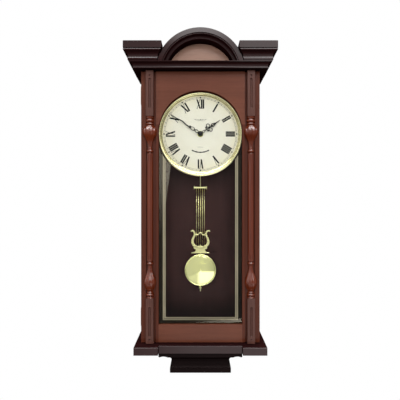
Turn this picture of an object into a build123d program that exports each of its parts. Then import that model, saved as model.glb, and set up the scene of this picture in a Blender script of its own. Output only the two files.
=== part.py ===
"""Schoolhouse wall clock: drop case, arched crown, glazed door, lyre pendulum, battery movement.

Frame: millimetres, +Z up, +X to the right of a person facing the dial, -Y towards that person.
The back of the case lies on the wall plane y = 0, and the hands turn about the line x = z = 0.
"""
from build123d import *
from math import atan2, cos, degrees, pi, radians, sin, sqrt
import os

os.makedirs("parts", exist_ok=True)

# ---------------------------------------------------------------- driving dimensions
# Case: four boards, a plywood back and a top board that carries the crown.
CASE_HALF_WIDTH = 146.5
CASE_FRONT_Y = -91.0
CASE_TOP_Z = 151.9
CASE_BOTTOM_Z = -520.0
BOARD = 12.0
BACK_THICKNESS = 6.0
FIT_GAP = 0.2
CORNICE_TOP_Z = 167.3
TOP_BOARD_FRONT_Y = -113.0

# Door: one glazed frame over the whole front of the case.
DOOR_BACK_Y = -92.0
DOOR_FRONT_Y = -109.0
DOOR_TOP_Z = 150.5
DOOR_BOTTOM_Z = -518.5
OPENING_HALF_WIDTH = 103.5
OPENING_ARCH_RADIUS = 104.0
OPENING_BOTTOM_Z = -474.5
GLASS_LIP = 5.0
GLASS_FRONT_Y = -101.5
GLASS_BACK_Y = -99.5
RETAINER_BACK_Y = -94.0
MARGIN_INNER_X = 95.0
GOLD_LINES = ((94.7, 5.0), (88.7, 2.2))
RAIL_JOINT_Z = 20.0
CHANNEL_INNER_X = 110.0
CHANNEL_OUTER_X = 134.0
CHANNEL_FLOOR_Y = -105.0

# Split columns and the fluted blocks above and below them, in the channel of each stile.
COLUMN_X = 124.5
BLOCK_HALF_WIDTH = 9.5
BLOCK_FRONT_Y = -119.0
COLUMN_TOP_Z = 38.9
COLUMN_BOTTOM_Z = -407.8
FLUTE_RADIUS = 3.0
TONGUE_HALF_WIDTH = 5.0

# Crown: cornice, arch and two corner caps.
ARCH_CENTRE_Z = 139.7
ARCH_OUTER_RADIUS = 108.5
ARCH_INNER_RADIUS = 85.0
ARCH_FRONT_Y = -137.0
ARCH_BACK_Y = -84.0
TYMPANUM_FRONT_Y = -94.0
TYMPANUM_RADIUS = 90.0
CAP_INNER_X = 103.5
CAP_OUTER_X = 173.0
CAP_FRONT_Y = -137.5
CAP_TOP_Z = 211.8
CAP_WALL = 16.0

# Base: two plinth blocks, a recessed middle board, and the corbel below it.
PLINTH_BOTTOM_Z = -539.0
PLINTH_INNER_X = 101.8
PLINTH_OUTER_X = 160.0
PLINTH_FRONT_Y = -141.0
BASE_FRONT_Y = -129.0
CORBEL_NECK_HALF_WIDTH = 69.5
CORBEL_NECK_FRONT_Y = -114.0
CORBEL_PLATE_TOP_Z = -578.0
CORBEL_BOTTOM_Z = -590.0

# Dial and bezel.
DIAL_BOARD_BACK_Y = -80.0
DIAL_BOARD_FRONT_Y = -86.0
DIAL_FRONT_Y = -87.0
DIAL_RADIUS = 97.0
BEZEL_OUTER_RADIUS = 107.5
BEZEL_INNER_RADIUS = 95.5
BEZEL_FRONT_Y = -92.3
PRINT_THICKNESS = 0.15
MINUTE_TRACK_RADIUS = 92.6
NUMERAL_OUTER_RADIUS = 88.0
NUMERAL_INNER_RADIUS = 64.0
NUMERAL_THICK = 2.8
NUMERAL_THIN = 1.0

# Time shown by the rest pose: ten to two.
MINUTE_HAND_ANGLE = 303.0
HOUR_HAND_ANGLE = 55.25
MINUTE_HAND_LENGTH = 93.0
HOUR_HAND_LENGTH = 62.0
MINUTE_HAND_FRONT_Y = -93.3
HOUR_HAND_FRONT_Y = -90.9
HAND_THICKNESS = 0.6
HAND_NUT_RADIUS = 4.6
HAND_NUT_FRONT_Y = -96.8

# Motion work: all wheels share one module; the layshaft lies straight above the hands' axis.
GEAR_MODULE = 0.6
CANNON_TEETH = 10
MINUTE_WHEEL_TEETH = 30
MINUTE_PINION_TEETH = 8
HOUR_WHEEL_TEETH = 32
THIRD_PINION_TEETH = 8
CENTRE_WHEEL_TEETH = 48
SET_PINION_TEETH = 10
MINUTE_ARBOR_RADIUS = 1.5
MINUTE_ARBOR_FRONT_Y = -94.8
HOUR_PIPE_RADIUS = 2.6
BUSH_RADIUS = 4.8
BUSH_FRONT_Y = -89.6
DIAL_NUT_BACK_Y = -87.5
RUNNING_GAP = 0.05
LAYSHAFT_RADIUS = 1.0

# Movement case, and where its parts sit.
MOVEMENT_HALF_WIDTH = 47.0
MOVEMENT_TOP_Z = 62.0
MOVEMENT_BOTTOM_Z = -40.0
MOVEMENT_FRONT_Y = -79.8
MOVEMENT_SEAM_Y = -62.0
MOVEMENT_BACK_Y = -44.0
SHELL = 2.0
BATTERY_RADIUS = 13.0
BATTERY_LENGTH = 48.0
BATTERY_Y = -57.4
BATTERY_Z = 43.0
SPEAKER_X = 92.0
SPEAKER_Z = 110.0
SPEAKER_RADIUS = 28.5

# Pendulum: hangs in its own plane from a sprung arm below the movement.
PENDULUM_Y = -64.0
PIVOT_Z = -50.0
CROSSBAR_Z = -136.5
STRING_SPACING = 5.6
STRING_COUNT = 5
STRING_RADIUS = 0.8
LYRE_FOOT_Z = -304.0
LYRE_THICKNESS = 2.2
BOB_Z = -348.0
BOB_RADIUS = 41.0
BOB_RIM_Y = -66.2
BOB_BACK_Y = -60.0
RATING_SCREW_RADIUS = 1.4
RATING_NUT_RADIUS = 4.0
RATING_NUT_BOTTOM_Z = -395.0
RATING_SCREW_TOP_Z = -290.0
RATING_SCREW_BOTTOM_Z = -403.0

# Hinges on the left edge, magnetic catch on the right edge, keyhole hanger in the back.
HINGE_X = -148.3
HINGE_Y = -91.5
HINGE_HEIGHTS = (95.0, -460.0)
HINGE_LENGTH = 40.0
KNUCKLE_RADIUS = 1.7
KNUCKLE_HALF_LENGTH = 6.85
HINGE_PIN_RADIUS = 0.85
LEAF_THICKNESS = 1.2
LEAF_INNER_X = -136.0
LEAF_SCREW_X = -141.0
LEAF_SCREW_OFFSET = 12.0
CATCH_Z = -200.0
CATCH_X = 140.5
HANGER_Z = 118.0
HANGER_HOLE_RADIUS = 4.5
HANGER_SLOT_HALF_WIDTH = 2.4
ACCESS_Z = 11.0
ACCESS_HALF_WIDTH = 58.0
ACCESS_HALF_HEIGHT = 60.0


# ---------------------------------------------------------------- helpers
def save(name, shape):
    """Write one named sub-part."""
    export_step(shape, f"parts/{name}.step")


def span(x0, x1, y0, y1, z0, z1):
    """A block between two corners."""
    size = (abs(x1 - x0), abs(y1 - y0), abs(z1 - z0))
    centre = ((x0 + x1) / 2, (y0 + y1) / 2, (z0 + z1) / 2)
    return Pos(*centre) * Box(*size)


def rod_x(y, z, radius, x0, x1):
    """A round rod along X."""
    return Pos((x0 + x1) / 2, y, z) * Rot(0, 90, 0) * Cylinder(radius, abs(x1 - x0))


def rod_y(x, z, radius, y0, y1):
    """A round rod along Y."""
    return Pos(x, (y0 + y1) / 2, z) * Rot(90, 0, 0) * Cylinder(radius, abs(y1 - y0))


def rod_z(x, y, radius, z0, z1):
    """A round rod along Z."""
    return Pos(x, y, (z0 + z1) / 2) * Cylinder(radius, abs(z1 - z0))


def front_plate(face, y0, y1):
    """Extrude a face, drawn with x to the right and y up, from depth y0 to depth y1."""
    return Pos(0, min(y0, y1), 0) * Rot(90, 0, 0) * extrude(face, -abs(y1 - y0))


def side_plate(face, x0, x1):
    """Extrude a face, drawn with x towards the viewer and y up, from x0 to x1."""
    return Pos(min(x0, x1), 0, 0) * Rot(0, 0, -90) * Rot(90, 0, 0) * extrude(face, -abs(x1 - x0))


def turned_y(profile, z=0.0):
    """Revolve a face, drawn as (radius, distance towards the viewer), about a line along Y."""
    return Pos(0, 0, z) * Rot(180, 0, 0) * revolve(profile, Axis.Y)


def turned_z(profile, x, y):
    """Revolve a face, drawn as (radius, height), about an upright line."""
    return Pos(x, y, 0) * Rot(90, 0, 0) * revolve(profile, Axis.Y)


def mirrored(shape):
    """The same piece on the other side of the clock's centre line."""
    return mirror(shape, Plane.YZ)


def outline(*edges):
    """A face bounded by the given edges."""
    return make_face(Curve() + list(edges))


def path_edges(points):
    """Edges through (x, y) points; a third value bulges the edge to its left, as a part of its chord."""
    edges = []
    for start, end in zip(points, points[1:]):
        bulge = start[2] if len(start) > 2 else 0
        a = (start[0], start[1])
        b = (end[0], end[1])
        chord = sqrt((b[0] - a[0]) ** 2 + (b[1] - a[1]) ** 2)
        edges.append(SagittaArc(a, b, bulge * chord) if bulge else Line(a, b))
    return edges


def closed_face(points):
    """The face inside a closed run of points, with bulges as in path_edges."""
    return outline(*path_edges(list(points) + [points[0]]))


def symmetric_face(points):
    """The face between a right-hand outline, drawn from the bottom up, and its mirror image."""
    right = path_edges(points)
    left = [mirror(edge, Plane.YZ) for edge in right]
    ends = [Line((-x, y), (x, y)) for x, y in (points[0][:2], points[-1][:2]) if x > 0]
    return outline(*right, *left, *ends)


def dome_y(z, base_y, radius, height):
    """A spherical cap that stands out towards the viewer from the plane y = base_y."""
    sphere_radius = (radius ** 2 + height ** 2) / (2 * height)
    ball = Pos(0, base_y - height + sphere_radius, z) * Sphere(sphere_radius)
    return ball & span(-radius - 1, radius + 1, base_y - height - 1, base_y, z - radius - 1, z + radius + 1)


def clock_point(radius, angle):
    """A point on the dial, with the angle in degrees clockwise from twelve."""
    return radius * sin(radians(angle)), radius * cos(radians(angle))


def at_clock(face, angle):
    """Turn a face, drawn pointing at twelve, to an angle clockwise from twelve."""
    return Rot(0, 0, -angle) * face


def moulded_block(left, right, front, profile, depth_share=1.0):
    """A block with a moulding on both sides and in front, and its back on the wall plane.

    The profile is a run of (offset, height) points from the bottom up. The corners mitre by
    themselves, because the block is where a side-to-side and a front-to-back moulding meet.
    """
    low = profile[0][1]
    high = profile[-1][1]
    bottom = profile[0][0]
    top = profile[-1][0]
    right_edge = [Pos(right, 0, 0) * edge for edge in path_edges(profile)]
    left_edge = [Pos(left, 0, 0) * mirror(edge, Plane.YZ) for edge in path_edges(profile)]
    caps = [Line((left - top, high), (right + top, high)), Line((left - bottom, low), (right + bottom, low))]
    across = outline(*right_edge, *left_edge, *caps)
    shallow = [(point[0] * depth_share,) + tuple(point[1:]) for point in profile]
    front_edge = [Pos(front, 0, 0) * edge for edge in path_edges(shallow)]
    back = [Line((front + shallow[-1][0], high), (0, high)), Line((0, high), (0, low))]
    back.append(Line((0, low), (front + shallow[0][0], low)))
    section = outline(*front_edge, *back)
    reach = max(point[0] for point in profile) + 20.0
    return front_plate(across, -front - reach, 0) & side_plate(section, left - reach, right + reach)


def gear_face(teeth, bore_radius, turn_deg=0.0):
    """A spur wheel with tapered, round-rooted teeth that keep clear of their mates."""
    pitch = GEAR_MODULE * teeth / 2
    tip = pitch + 0.85 * GEAR_MODULE
    root = pitch - 1.2 * GEAR_MODULE
    step = 2 * pi / teeth
    root_half = 0.30 * step
    pitch_half = 0.205 * step
    tip_half = 0.08 * step
    points = []
    for index in range(teeth):
        middle = index * step + radians(turn_deg)
        stops = ((root, -root_half), (pitch, -pitch_half), (tip, -tip_half))
        stops = stops + ((tip, tip_half), (pitch, pitch_half), (root, root_half))
        points.extend((radius * sin(middle + turn), radius * cos(middle + turn)) for radius, turn in stops)
    face = make_face(Polyline(*points, close=True))
    if bore_radius:
        face = face - Circle(bore_radius)
    return face


def gear(teeth, x, z, y0, y1, bore_radius, turn_deg=0.0):
    """A wheel on an axis along Y; turn_deg is clockwise, seen from the front."""
    return Pos(x, 0, z) * front_plate(gear_face(teeth, bore_radius, turn_deg), y0, y1)


def arched_face(half_width, arch_radius, bottom):
    """A face with straight sides, a flat bottom and a round top about the hands' axis."""
    shoulder = sqrt(arch_radius ** 2 - half_width ** 2)
    sides = Line((-half_width, shoulder), (-half_width, bottom))
    floor = Line((-half_width, bottom), (half_width, bottom))
    right = Line((half_width, bottom), (half_width, shoulder))
    crown = ThreePointArc((half_width, shoulder), (0, arch_radius), (-half_width, shoulder))
    return outline(sides, floor, right, crown)


def plan_prism(points, z0, z1):
    """Extrude a plan outline, drawn in x and y, between two heights."""
    return Pos(0, 0, z0) * extrude(make_face(Polyline(*points, close=True)), z1 - z0)


def soft_edges(shape, radius, axis=None):
    """Ease the edges of a block; axis picks only the edges that run along it."""
    edges = shape.edges()
    if axis is not None:
        edges = edges.filter_by(axis)
    return fillet(edges, radius)


def screw_y(x, z, head_y, tip_y, head_radius=2.4, shank_radius=1.2, head=0.9):
    """A flush-headed screw along Y, with its head face at head_y and its tip at tip_y."""
    inward = 1 if tip_y > head_y else -1
    head_end = head_y + inward * head
    return rod_y(x, z, head_radius, head_y, head_end) + rod_y(x, z, shank_radius, head_end, tip_y)


# ---------------------------------------------------------------- case
def hinge_mortises(y0, y1):
    """The shallow pockets that the hinge leaves lie in."""
    half = HINGE_LENGTH / 2
    cuts = [span(-CASE_HALF_WIDTH - 1, LEAF_INNER_X, y0, y1, z - half, z + half) for z in HINGE_HEIGHTS]
    return Part() + cuts


def side_panel_right():
    """The right side board, with a pocket for the magnetic catch in its front edge."""
    inner = CASE_HALF_WIDTH - BOARD
    panel = span(inner, CASE_HALF_WIDTH, CASE_FRONT_Y, 0, CASE_BOTTOM_Z, CASE_TOP_Z)
    return panel - catch_block()


def side_panel_left():
    """The left side board, cut for the hinge leaves and drilled for their screws."""
    inner = CASE_HALF_WIDTH - BOARD
    panel = span(-CASE_HALF_WIDTH, -inner, CASE_FRONT_Y, 0, CASE_BOTTOM_Z, CASE_TOP_Z)
    return panel - hinge_mortises(CASE_FRONT_Y, CASE_FRONT_Y + LEAF_THICKNESS) - hinge_screws_case()


def back_panel():
    """The plywood back, with the movement's access opening and the hanger's clearance slot."""
    inner = CASE_HALF_WIDTH - BOARD - FIT_GAP
    panel = span(-inner, inner, -BACK_THICKNESS, 0, CASE_BOTTOM_Z, CASE_TOP_Z - FIT_GAP)
    low = ACCESS_Z - ACCESS_HALF_HEIGHT
    high = ACCESS_Z + ACCESS_HALF_HEIGHT
    ledge = 5.0
    panel -= span(-ACCESS_HALF_WIDTH, ACCESS_HALF_WIDTH, -3, 0, low, high)
    half = ACCESS_HALF_WIDTH - ledge
    panel -= span(-half, half, -BACK_THICKNESS, 0, low + ledge, high - ledge)
    panel -= hanger_blank()
    panel -= span(-7, 7, -BACK_THICKNESS, 0, HANGER_Z - 8, HANGER_Z + 20)
    return panel - hanger_screws()


def hanger_blank():
    """The keyhole hanger's strip before its keyhole is cut."""
    return span(-12, 12, -1.5, 0, HANGER_Z - 18, HANGER_Z + 30)


def hanger_screws():
    """The two flush screws of the keyhole hanger."""
    heights = (HANGER_Z - 13, HANGER_Z + 25)
    return Part() + [screw_y(0, z, 0, -BACK_THICKNESS + 0.5, head=1.0) for z in heights]


def hanger_plate():
    """The keyhole hanger: a round entry hole with a slot above it that drops over the wall screw."""
    slot_top = HANGER_Z + 14
    plate = hanger_blank() - rod_y(0, HANGER_Z, HANGER_HOLE_RADIUS, -2, 1)
    plate -= span(-HANGER_SLOT_HALF_WIDTH, HANGER_SLOT_HALF_WIDTH, -2, 1, HANGER_Z, slot_top)
    plate -= rod_y(0, slot_top, HANGER_SLOT_HALF_WIDTH, -2, 1)
    return plate - hanger_screws()


def access_cover():
    """The lift-off cover over the movement's opening, with a finger hole."""
    gap = FIT_GAP
    low = ACCESS_Z - ACCESS_HALF_HEIGHT + gap
    high = ACCESS_Z + ACCESS_HALF_HEIGHT - gap
    cover = span(-ACCESS_HALF_WIDTH + gap, ACCESS_HALF_WIDTH - gap, -2.9, -0.2, low, high)
    return cover - rod_y(0, high - 16, 8, -4, 1)


def top_board():
    """The board that closes the case and carries the crown."""
    return span(-CASE_HALF_WIDTH, CASE_HALF_WIDTH, TOP_BOARD_FRONT_Y, 0, CASE_TOP_Z, CORNICE_TOP_Z)


def dial_cleat_right():
    """A strip on the side board that the dial board is screwed to."""
    inner = CASE_HALF_WIDTH - BOARD
    return span(inner - 10, inner, DIAL_BOARD_BACK_Y, -66, -58, 148) - dial_board_screws()


def dial_board_screws():
    """Four screws through the dial board into its cleats."""
    places = [(side * 129, z) for side in (-1, 1) for z in (-45, 135)]
    return Part() + [screw_y(x, z, DIAL_BOARD_FRONT_Y, -68) for x, z in places]


# ---------------------------------------------------------------- crown
def cornice():
    """The whole cornice before its mitres are cut: fillet, cove and fillet."""
    rise = CORNICE_TOP_Z - CASE_TOP_Z
    profile = [(18.5, 0), (18.5, 1.8), (17.2, 1.8, 0.22), (24.0, rise - 2), (25.5, rise - 2), (25.5, rise)]
    profile = [(p[0], CASE_TOP_Z + p[1]) + tuple(p[2:]) for p in profile]
    block = moulded_block(-CASE_HALF_WIDTH, CASE_HALF_WIDTH, -TOP_BOARD_FRONT_Y, profile)
    return block - top_board()


def mitre_prism():
    """The plan area that the front length of the cornice fills."""
    reach = 60.0
    x = CASE_HALF_WIDTH
    y = TOP_BOARD_FRONT_Y
    corners = [(-x - reach, y - reach), (x + reach, y - reach), (x, y), (-x, y)]
    return plan_prism(corners, CASE_TOP_Z - 1, CORNICE_TOP_Z + 1)


def cornice_front():
    """The front length of the cornice."""
    return cornice() & mitre_prism()


def cornice_return_right():
    """The right return of the cornice, mitred at the front and square at the wall."""
    return (cornice() - mitre_prism()) & span(0, 400, -400, 0, CASE_TOP_Z, CORNICE_TOP_Z)


def crown_cap_right():
    """A corner cap of the crown: cove, bead and plain fascia on three sides, hollow from below."""
    base = CORNICE_TOP_Z
    fascia = CAP_TOP_Z - 16.6
    bead = fascia - 7.2
    profile = [(0, base), (0, base + 2.2), (1.5, base + 2.2), (1.5, base + 6.6, 0.2), (7.6, bead)]
    profile += [(8.4, bead, -0.4), (8.4, bead + 6.6), (8.4, fascia), (11, fascia)]
    profile += [(11, CAP_TOP_Z - 1), (10, CAP_TOP_Z)]
    block = moulded_block(CAP_INNER_X, CAP_OUTER_X, -CAP_FRONT_Y, profile)
    hollow_front = CAP_FRONT_Y + CAP_WALL
    block -= span(CAP_INNER_X + CAP_WALL, CAP_OUTER_X - CAP_WALL, hollow_front, 1, base - 1, CAP_TOP_Z - 9)
    return block - rod_y(0, ARCH_CENTRE_Z, ARCH_OUTER_RADIUS + FIT_GAP, -200, 10)


def above_cornice():
    """The space over the cornice, which ends the arch and its panel on a level line."""
    return span(-130, 130, -200, 10, CORNICE_TOP_Z, 300)


def arch_moulding():
    """The round-arched pediment: flat outer band, bead, cove and bead, and a deep soffit."""
    front = -ARCH_FRONT_Y
    back = -ARCH_BACK_Y
    panel = -TYMPANUM_FRONT_Y
    rebate = TYMPANUM_RADIUS + FIT_GAP
    band = ARCH_OUTER_RADIUS - 12.7
    outer = ARCH_OUTER_RADIUS
    section = [(outer, back), (outer, front - 1.5, 0.2), (outer - 1.5, front), (band + 0.8, front)]
    section += [(band, front - 0.8), (band, front - 3, -0.5), (band - 3.2, front - 3)]
    section += [(band - 3.6, front - 4.5, 0.25), (ARCH_INNER_RADIUS + 2.8, front - 12.5, -0.4)]
    section += [(ARCH_INNER_RADIUS, front - 15.5), (ARCH_INNER_RADIUS, panel)]
    section += [(rebate, panel), (rebate, back)]
    return turned_y(closed_face(section), ARCH_CENTRE_Z) & above_cornice()


def arch_tympanum():
    """The plain panel that closes the arch."""
    disc = rod_y(0, ARCH_CENTRE_Z, TYMPANUM_RADIUS, ARCH_BACK_Y, TYMPANUM_FRONT_Y)
    return disc & above_cornice()


# ---------------------------------------------------------------- base
def plinth_block_right():
    """The plinth block under the right column."""
    block = span(PLINTH_INNER_X, PLINTH_OUTER_X, PLINTH_FRONT_Y, 0, PLINTH_BOTTOM_Z, CASE_BOTTOM_Z)
    front = block.edges().filter_by(Axis.X).group_by(Axis.Y)[0]
    return fillet(front, 1.5)


def base_board():
    """The board between the plinth blocks, set back behind them."""
    half = PLINTH_INNER_X - FIT_GAP
    board = span(-half, half, BASE_FRONT_Y, 0, PLINTH_BOTTOM_Z, CASE_BOTTOM_Z)
    front = board.edges().filter_by(Axis.X).group_by(Axis.Y)[0]
    return fillet(front, 1.0)


def corbel_moulding():
    """The corbel under the base: a square lip, a deep cove to a neck, and a flare to the plate."""
    lip = PLINTH_INNER_X - CORBEL_NECK_HALF_WIDTH - FIT_GAP
    profile = [(5.1, CORBEL_PLATE_TOP_Z, 0.1), (0, -560.0, 0.22), (lip - 1.5, -549.0)]
    profile += [(lip - 1.5, -547.5), (lip, -547.5), (lip, PLINTH_BOTTOM_Z)]
    half = CORBEL_NECK_HALF_WIDTH
    return moulded_block(-half, half, -CORBEL_NECK_FRONT_Y, profile, depth_share=0.4)


def corbel_plate():
    """The flat plate that ends the corbel."""
    half = CORBEL_NECK_HALF_WIDTH + 5.1
    profile = [(-1.5, CORBEL_BOTTOM_Z), (0, CORBEL_BOTTOM_Z + 1.5), (0, CORBEL_PLATE_TOP_Z)]
    return moulded_block(-half, half, -CORBEL_NECK_FRONT_Y + 4.5, profile)


# ---------------------------------------------------------------- door
def door_opening():
    """The full-depth opening of the door and, behind the lip, the wider glass rebate."""
    hole = arched_face(OPENING_HALF_WIDTH, OPENING_ARCH_RADIUS, OPENING_BOTTOM_Z)
    lip = GLASS_LIP
    rebate = arched_face(OPENING_HALF_WIDTH + lip, OPENING_ARCH_RADIUS + lip, OPENING_BOTTOM_Z - lip)
    return front_plate(hole, DOOR_FRONT_Y - 1, 0) + front_plate(rebate, GLASS_FRONT_Y, 0)


def door_stile_right():
    """The right stile, with the channel that holds the column, and the strike plate's pocket."""
    stile = span(OPENING_HALF_WIDTH, CASE_HALF_WIDTH, DOOR_FRONT_Y, DOOR_BACK_Y, DOOR_BOTTOM_Z, DOOR_TOP_Z)
    stile -= span(0, CHANNEL_INNER_X, DOOR_FRONT_Y - 1, 0, RAIL_JOINT_Z, DOOR_TOP_Z + 1)
    channel_span = (CHANNEL_INNER_X, CHANNEL_OUTER_X, DOOR_FRONT_Y - 1, CHANNEL_FLOOR_Y)
    stile -= span(*channel_span, DOOR_BOTTOM_Z - 1, DOOR_TOP_Z + 1)
    return stile - door_opening() - strike_plate()


def door_stile_left():
    """The left stile, cut for the hinge leaves instead of the strike plate."""
    stile = mirrored(door_stile_right() + strike_plate())
    return stile - hinge_mortises(DOOR_BACK_Y - LEAF_THICKNESS, DOOR_BACK_Y) - hinge_screws_door()


def door_top_rail():
    """The top rail, cut to the round head of the opening."""
    half = CHANNEL_INNER_X
    return span(-half, half, DOOR_FRONT_Y, DOOR_BACK_Y, RAIL_JOINT_Z, DOOR_TOP_Z) - door_opening()


def door_bottom_rail():
    """The bottom rail."""
    half = OPENING_HALF_WIDTH
    return span(-half, half, DOOR_FRONT_Y, DOOR_BACK_Y, DOOR_BOTTOM_Z, OPENING_BOTTOM_Z) - door_opening()


def glass_pane():
    """The arched glass pane in the door's rebate."""
    gap = GLASS_LIP - FIT_GAP
    face = arched_face(OPENING_HALF_WIDTH + gap, OPENING_ARCH_RADIUS + gap, OPENING_BOTTOM_Z - gap)
    return front_plate(face, GLASS_FRONT_Y, GLASS_BACK_Y)


def retainer_ring():
    """The ring of strips that holds the pane, before it is cut into lengths."""
    outer = GLASS_LIP - 2 * FIT_GAP
    inner = 1.0
    ring = arched_face(OPENING_HALF_WIDTH + outer, OPENING_ARCH_RADIUS + outer, OPENING_BOTTOM_Z - outer)
    ring -= arched_face(OPENING_HALF_WIDTH + inner, OPENING_ARCH_RADIUS + inner, OPENING_BOTTOM_Z - inner)
    return front_plate(ring, GLASS_BACK_Y, RETAINER_BACK_Y)


def glass_retainer_arch():
    """The bent strip round the head of the pane."""
    return retainer_ring() & span(-200, 200, -200, 0, RAIL_JOINT_Z, 200)


def glass_retainer_right():
    """The straight strip up the right edge of the pane."""
    return retainer_ring() & span(0, 200, -200, 0, OPENING_BOTTOM_Z - 1, RAIL_JOINT_Z)


def glass_retainer_bottom():
    """The straight strip along the foot of the pane."""
    return retainer_ring() & span(-200, 200, -200, 0, -600, OPENING_BOTTOM_Z - 1)


def print_on_glass(face):
    """A printed film on the back of the pane, below the dial only."""
    film = face & (Pos(0, -300) * Rectangle(400, 600))
    film -= Circle(BEZEL_OUTER_RADIUS + 0.5)
    return front_plate(film, GLASS_BACK_Y, GLASS_BACK_Y + PRINT_THICKNESS)


def glass_border_black():
    """The black margin printed round the edge of the pane."""
    reach = 0.8
    outer = arched_face(OPENING_HALF_WIDTH + reach, OPENING_ARCH_RADIUS + reach, OPENING_BOTTOM_Z - reach)
    return print_on_glass(outer - border_window(MARGIN_INNER_X))


def border_window(half_width):
    """The part of the pane inside a border line that lies this far from the centre line."""
    bottom = OPENING_BOTTOM_Z + OPENING_HALF_WIDTH - half_width - 0.7
    return Pos(0, bottom / 2) * Rectangle(2 * half_width, -bottom)


def glass_border_gold():
    """The gold double line inside the black margin."""
    lines = [border_window(outer) - border_window(outer - width) for outer, width in GOLD_LINES]
    return Part() + [print_on_glass(line) for line in lines]


def flute(bottom, top):
    """A stopped flute with round ends, as the solid to cut away."""
    low = bottom + FLUTE_RADIUS
    high = top - FLUTE_RADIUS
    cut = rod_z(COLUMN_X, BLOCK_FRONT_Y, FLUTE_RADIUS, low, high)
    return cut + [Pos(COLUMN_X, BLOCK_FRONT_Y, z) * Sphere(FLUTE_RADIUS) for z in (low, high)]


def column_block(bottom, top, flute_bottom, flute_top, dot_z):
    """A square block of the column with a stopped flute and a drilled dot beyond its end."""
    left = COLUMN_X - BLOCK_HALF_WIDTH
    right = COLUMN_X + BLOCK_HALF_WIDTH - FIT_GAP
    block = span(left, right, BLOCK_FRONT_Y, CHANNEL_FLOOR_Y, bottom, top)
    block = fillet(block.edges().filter_by(Axis.Z).group_by(Axis.Y)[0], 0.8)
    block -= flute(flute_bottom, flute_top)
    return block - Pos(COLUMN_X, BLOCK_FRONT_Y, dot_z) * Sphere(2.0)


def capital_block_right():
    """The fluted block above the right column."""
    return column_block(COLUMN_TOP_Z, DOOR_TOP_Z, 58.1, 131.7, 138.5)


def pedestal_block_right():
    """The fluted block below the right column."""
    return column_block(DOOR_BOTTOM_Z, COLUMN_BOTTOM_Z, -502.0, -429.0, -508.5)


def bead_run(bottom, top, radius, depth):
    """Profile points of one turned bead between two heights."""
    return [(radius - depth, bottom, -0.42), (radius - depth, top)]


def column_profile():
    """The turned outline of a column, as (radius, height) edges from the bottom up."""
    foot = [(0, COLUMN_BOTTOM_Z), (9.3, COLUMN_BOTTOM_Z), (9.3, -404.0), (7.6, -403.2)]
    foot += bead_run(-402.8, -397.2, 9.8, 2.2) + [(6.2, -396.8)] + bead_run(-396.4, -392.4, 8.0, 1.8)
    foot += [(6.0, -391.9)]
    swell = ((6.0, -391.9), (10.2, -383.0), (14.2, -369.6), (9.8, -351.0), (5.2, -333.0), (6.0, -328.9))
    low_bulb = Spline(*swell)
    rings = [(6.0, -328.9)] + bead_run(-328.5, -324.7, 8.0, 1.6) + bead_run(-324.3, -321.1, 8.0, 1.2)
    rings += [(6.4, -320.7)] + bead_run(-320.4, -317.2, 7.8, 1.0) + [(7.0, -316.9), (7.0, -51.6)]
    rings += [(6.6, -51.4)] + bead_run(-51.0, -47.6, 7.8, 1.2) + bead_run(-47.2, -42.8, 8.6, 1.8)
    rings += bead_run(-42.4, -38.8, 7.6, 1.2) + [(4.8, -38.3)]
    high_bulb = Spline((4.8, -38.3), (5.4, -30.0), (10.0, -16.0), (16.2, 0.0), (13.6, 11.0), (8.6, 17.6))
    head = [(8.6, 17.6)] + bead_run(18.0, 22.4, 10.0, 1.8) + [(7.4, 22.8), (7.4, 24.4)]
    head += bead_run(24.8, 31.6, 10.2, 2.2) + [(8.0, 32.0), (8.0, 34.0), (9.4, 34.6), (9.4, COLUMN_TOP_Z)]
    head += [(0, COLUMN_TOP_Z), (0, COLUMN_BOTTOM_Z)]
    return outline(*path_edges(foot), low_bulb, *path_edges(rings), high_bulb, *path_edges(head))


def column_right():
    """The split column: a half turning on a flat tongue that is glued into the channel."""
    turning = turned_z(column_profile(), COLUMN_X, DOOR_FRONT_Y)
    half = turning & span(0, 200, -200, DOOR_FRONT_Y, -600, 200)
    left = COLUMN_X - TONGUE_HALF_WIDTH
    right = COLUMN_X + TONGUE_HALF_WIDTH
    return half + span(left, right, DOOR_FRONT_Y, CHANNEL_FLOOR_Y, COLUMN_BOTTOM_Z, COLUMN_TOP_Z)


# ---------------------------------------------------------------- hinges and catch
def knuckle(z, low, high, bore_radius):
    """One length of hinge barrel."""
    barrel = rod_z(HINGE_X, HINGE_Y, KNUCKLE_RADIUS, z + low, z + high)
    return barrel - rod_z(HINGE_X, HINGE_Y, bore_radius, z + low - 1, z + high + 1)


def hinge_case_leaf(z):
    """The case leaf of one butt hinge, with the two outer knuckles."""
    half = HINGE_LENGTH / 2
    gap = KNUCKLE_HALF_LENGTH + FIT_GAP
    back = CASE_FRONT_Y + LEAF_THICKNESS
    leaf = span(HINGE_X, LEAF_INNER_X, CASE_FRONT_Y, back, z - half, z + half)
    leaf -= span(HINGE_X - 4, -CASE_HALF_WIDTH - 0.1, -100, -80, z - gap, z + gap)
    leaf -= rod_z(HINGE_X, HINGE_Y, KNUCKLE_RADIUS, z - half, z + half)
    leaf = leaf + knuckle(z, -half, -gap, HINGE_PIN_RADIUS) + knuckle(z, gap, half, HINGE_PIN_RADIUS)
    return leaf - hinge_screws_case()


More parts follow.
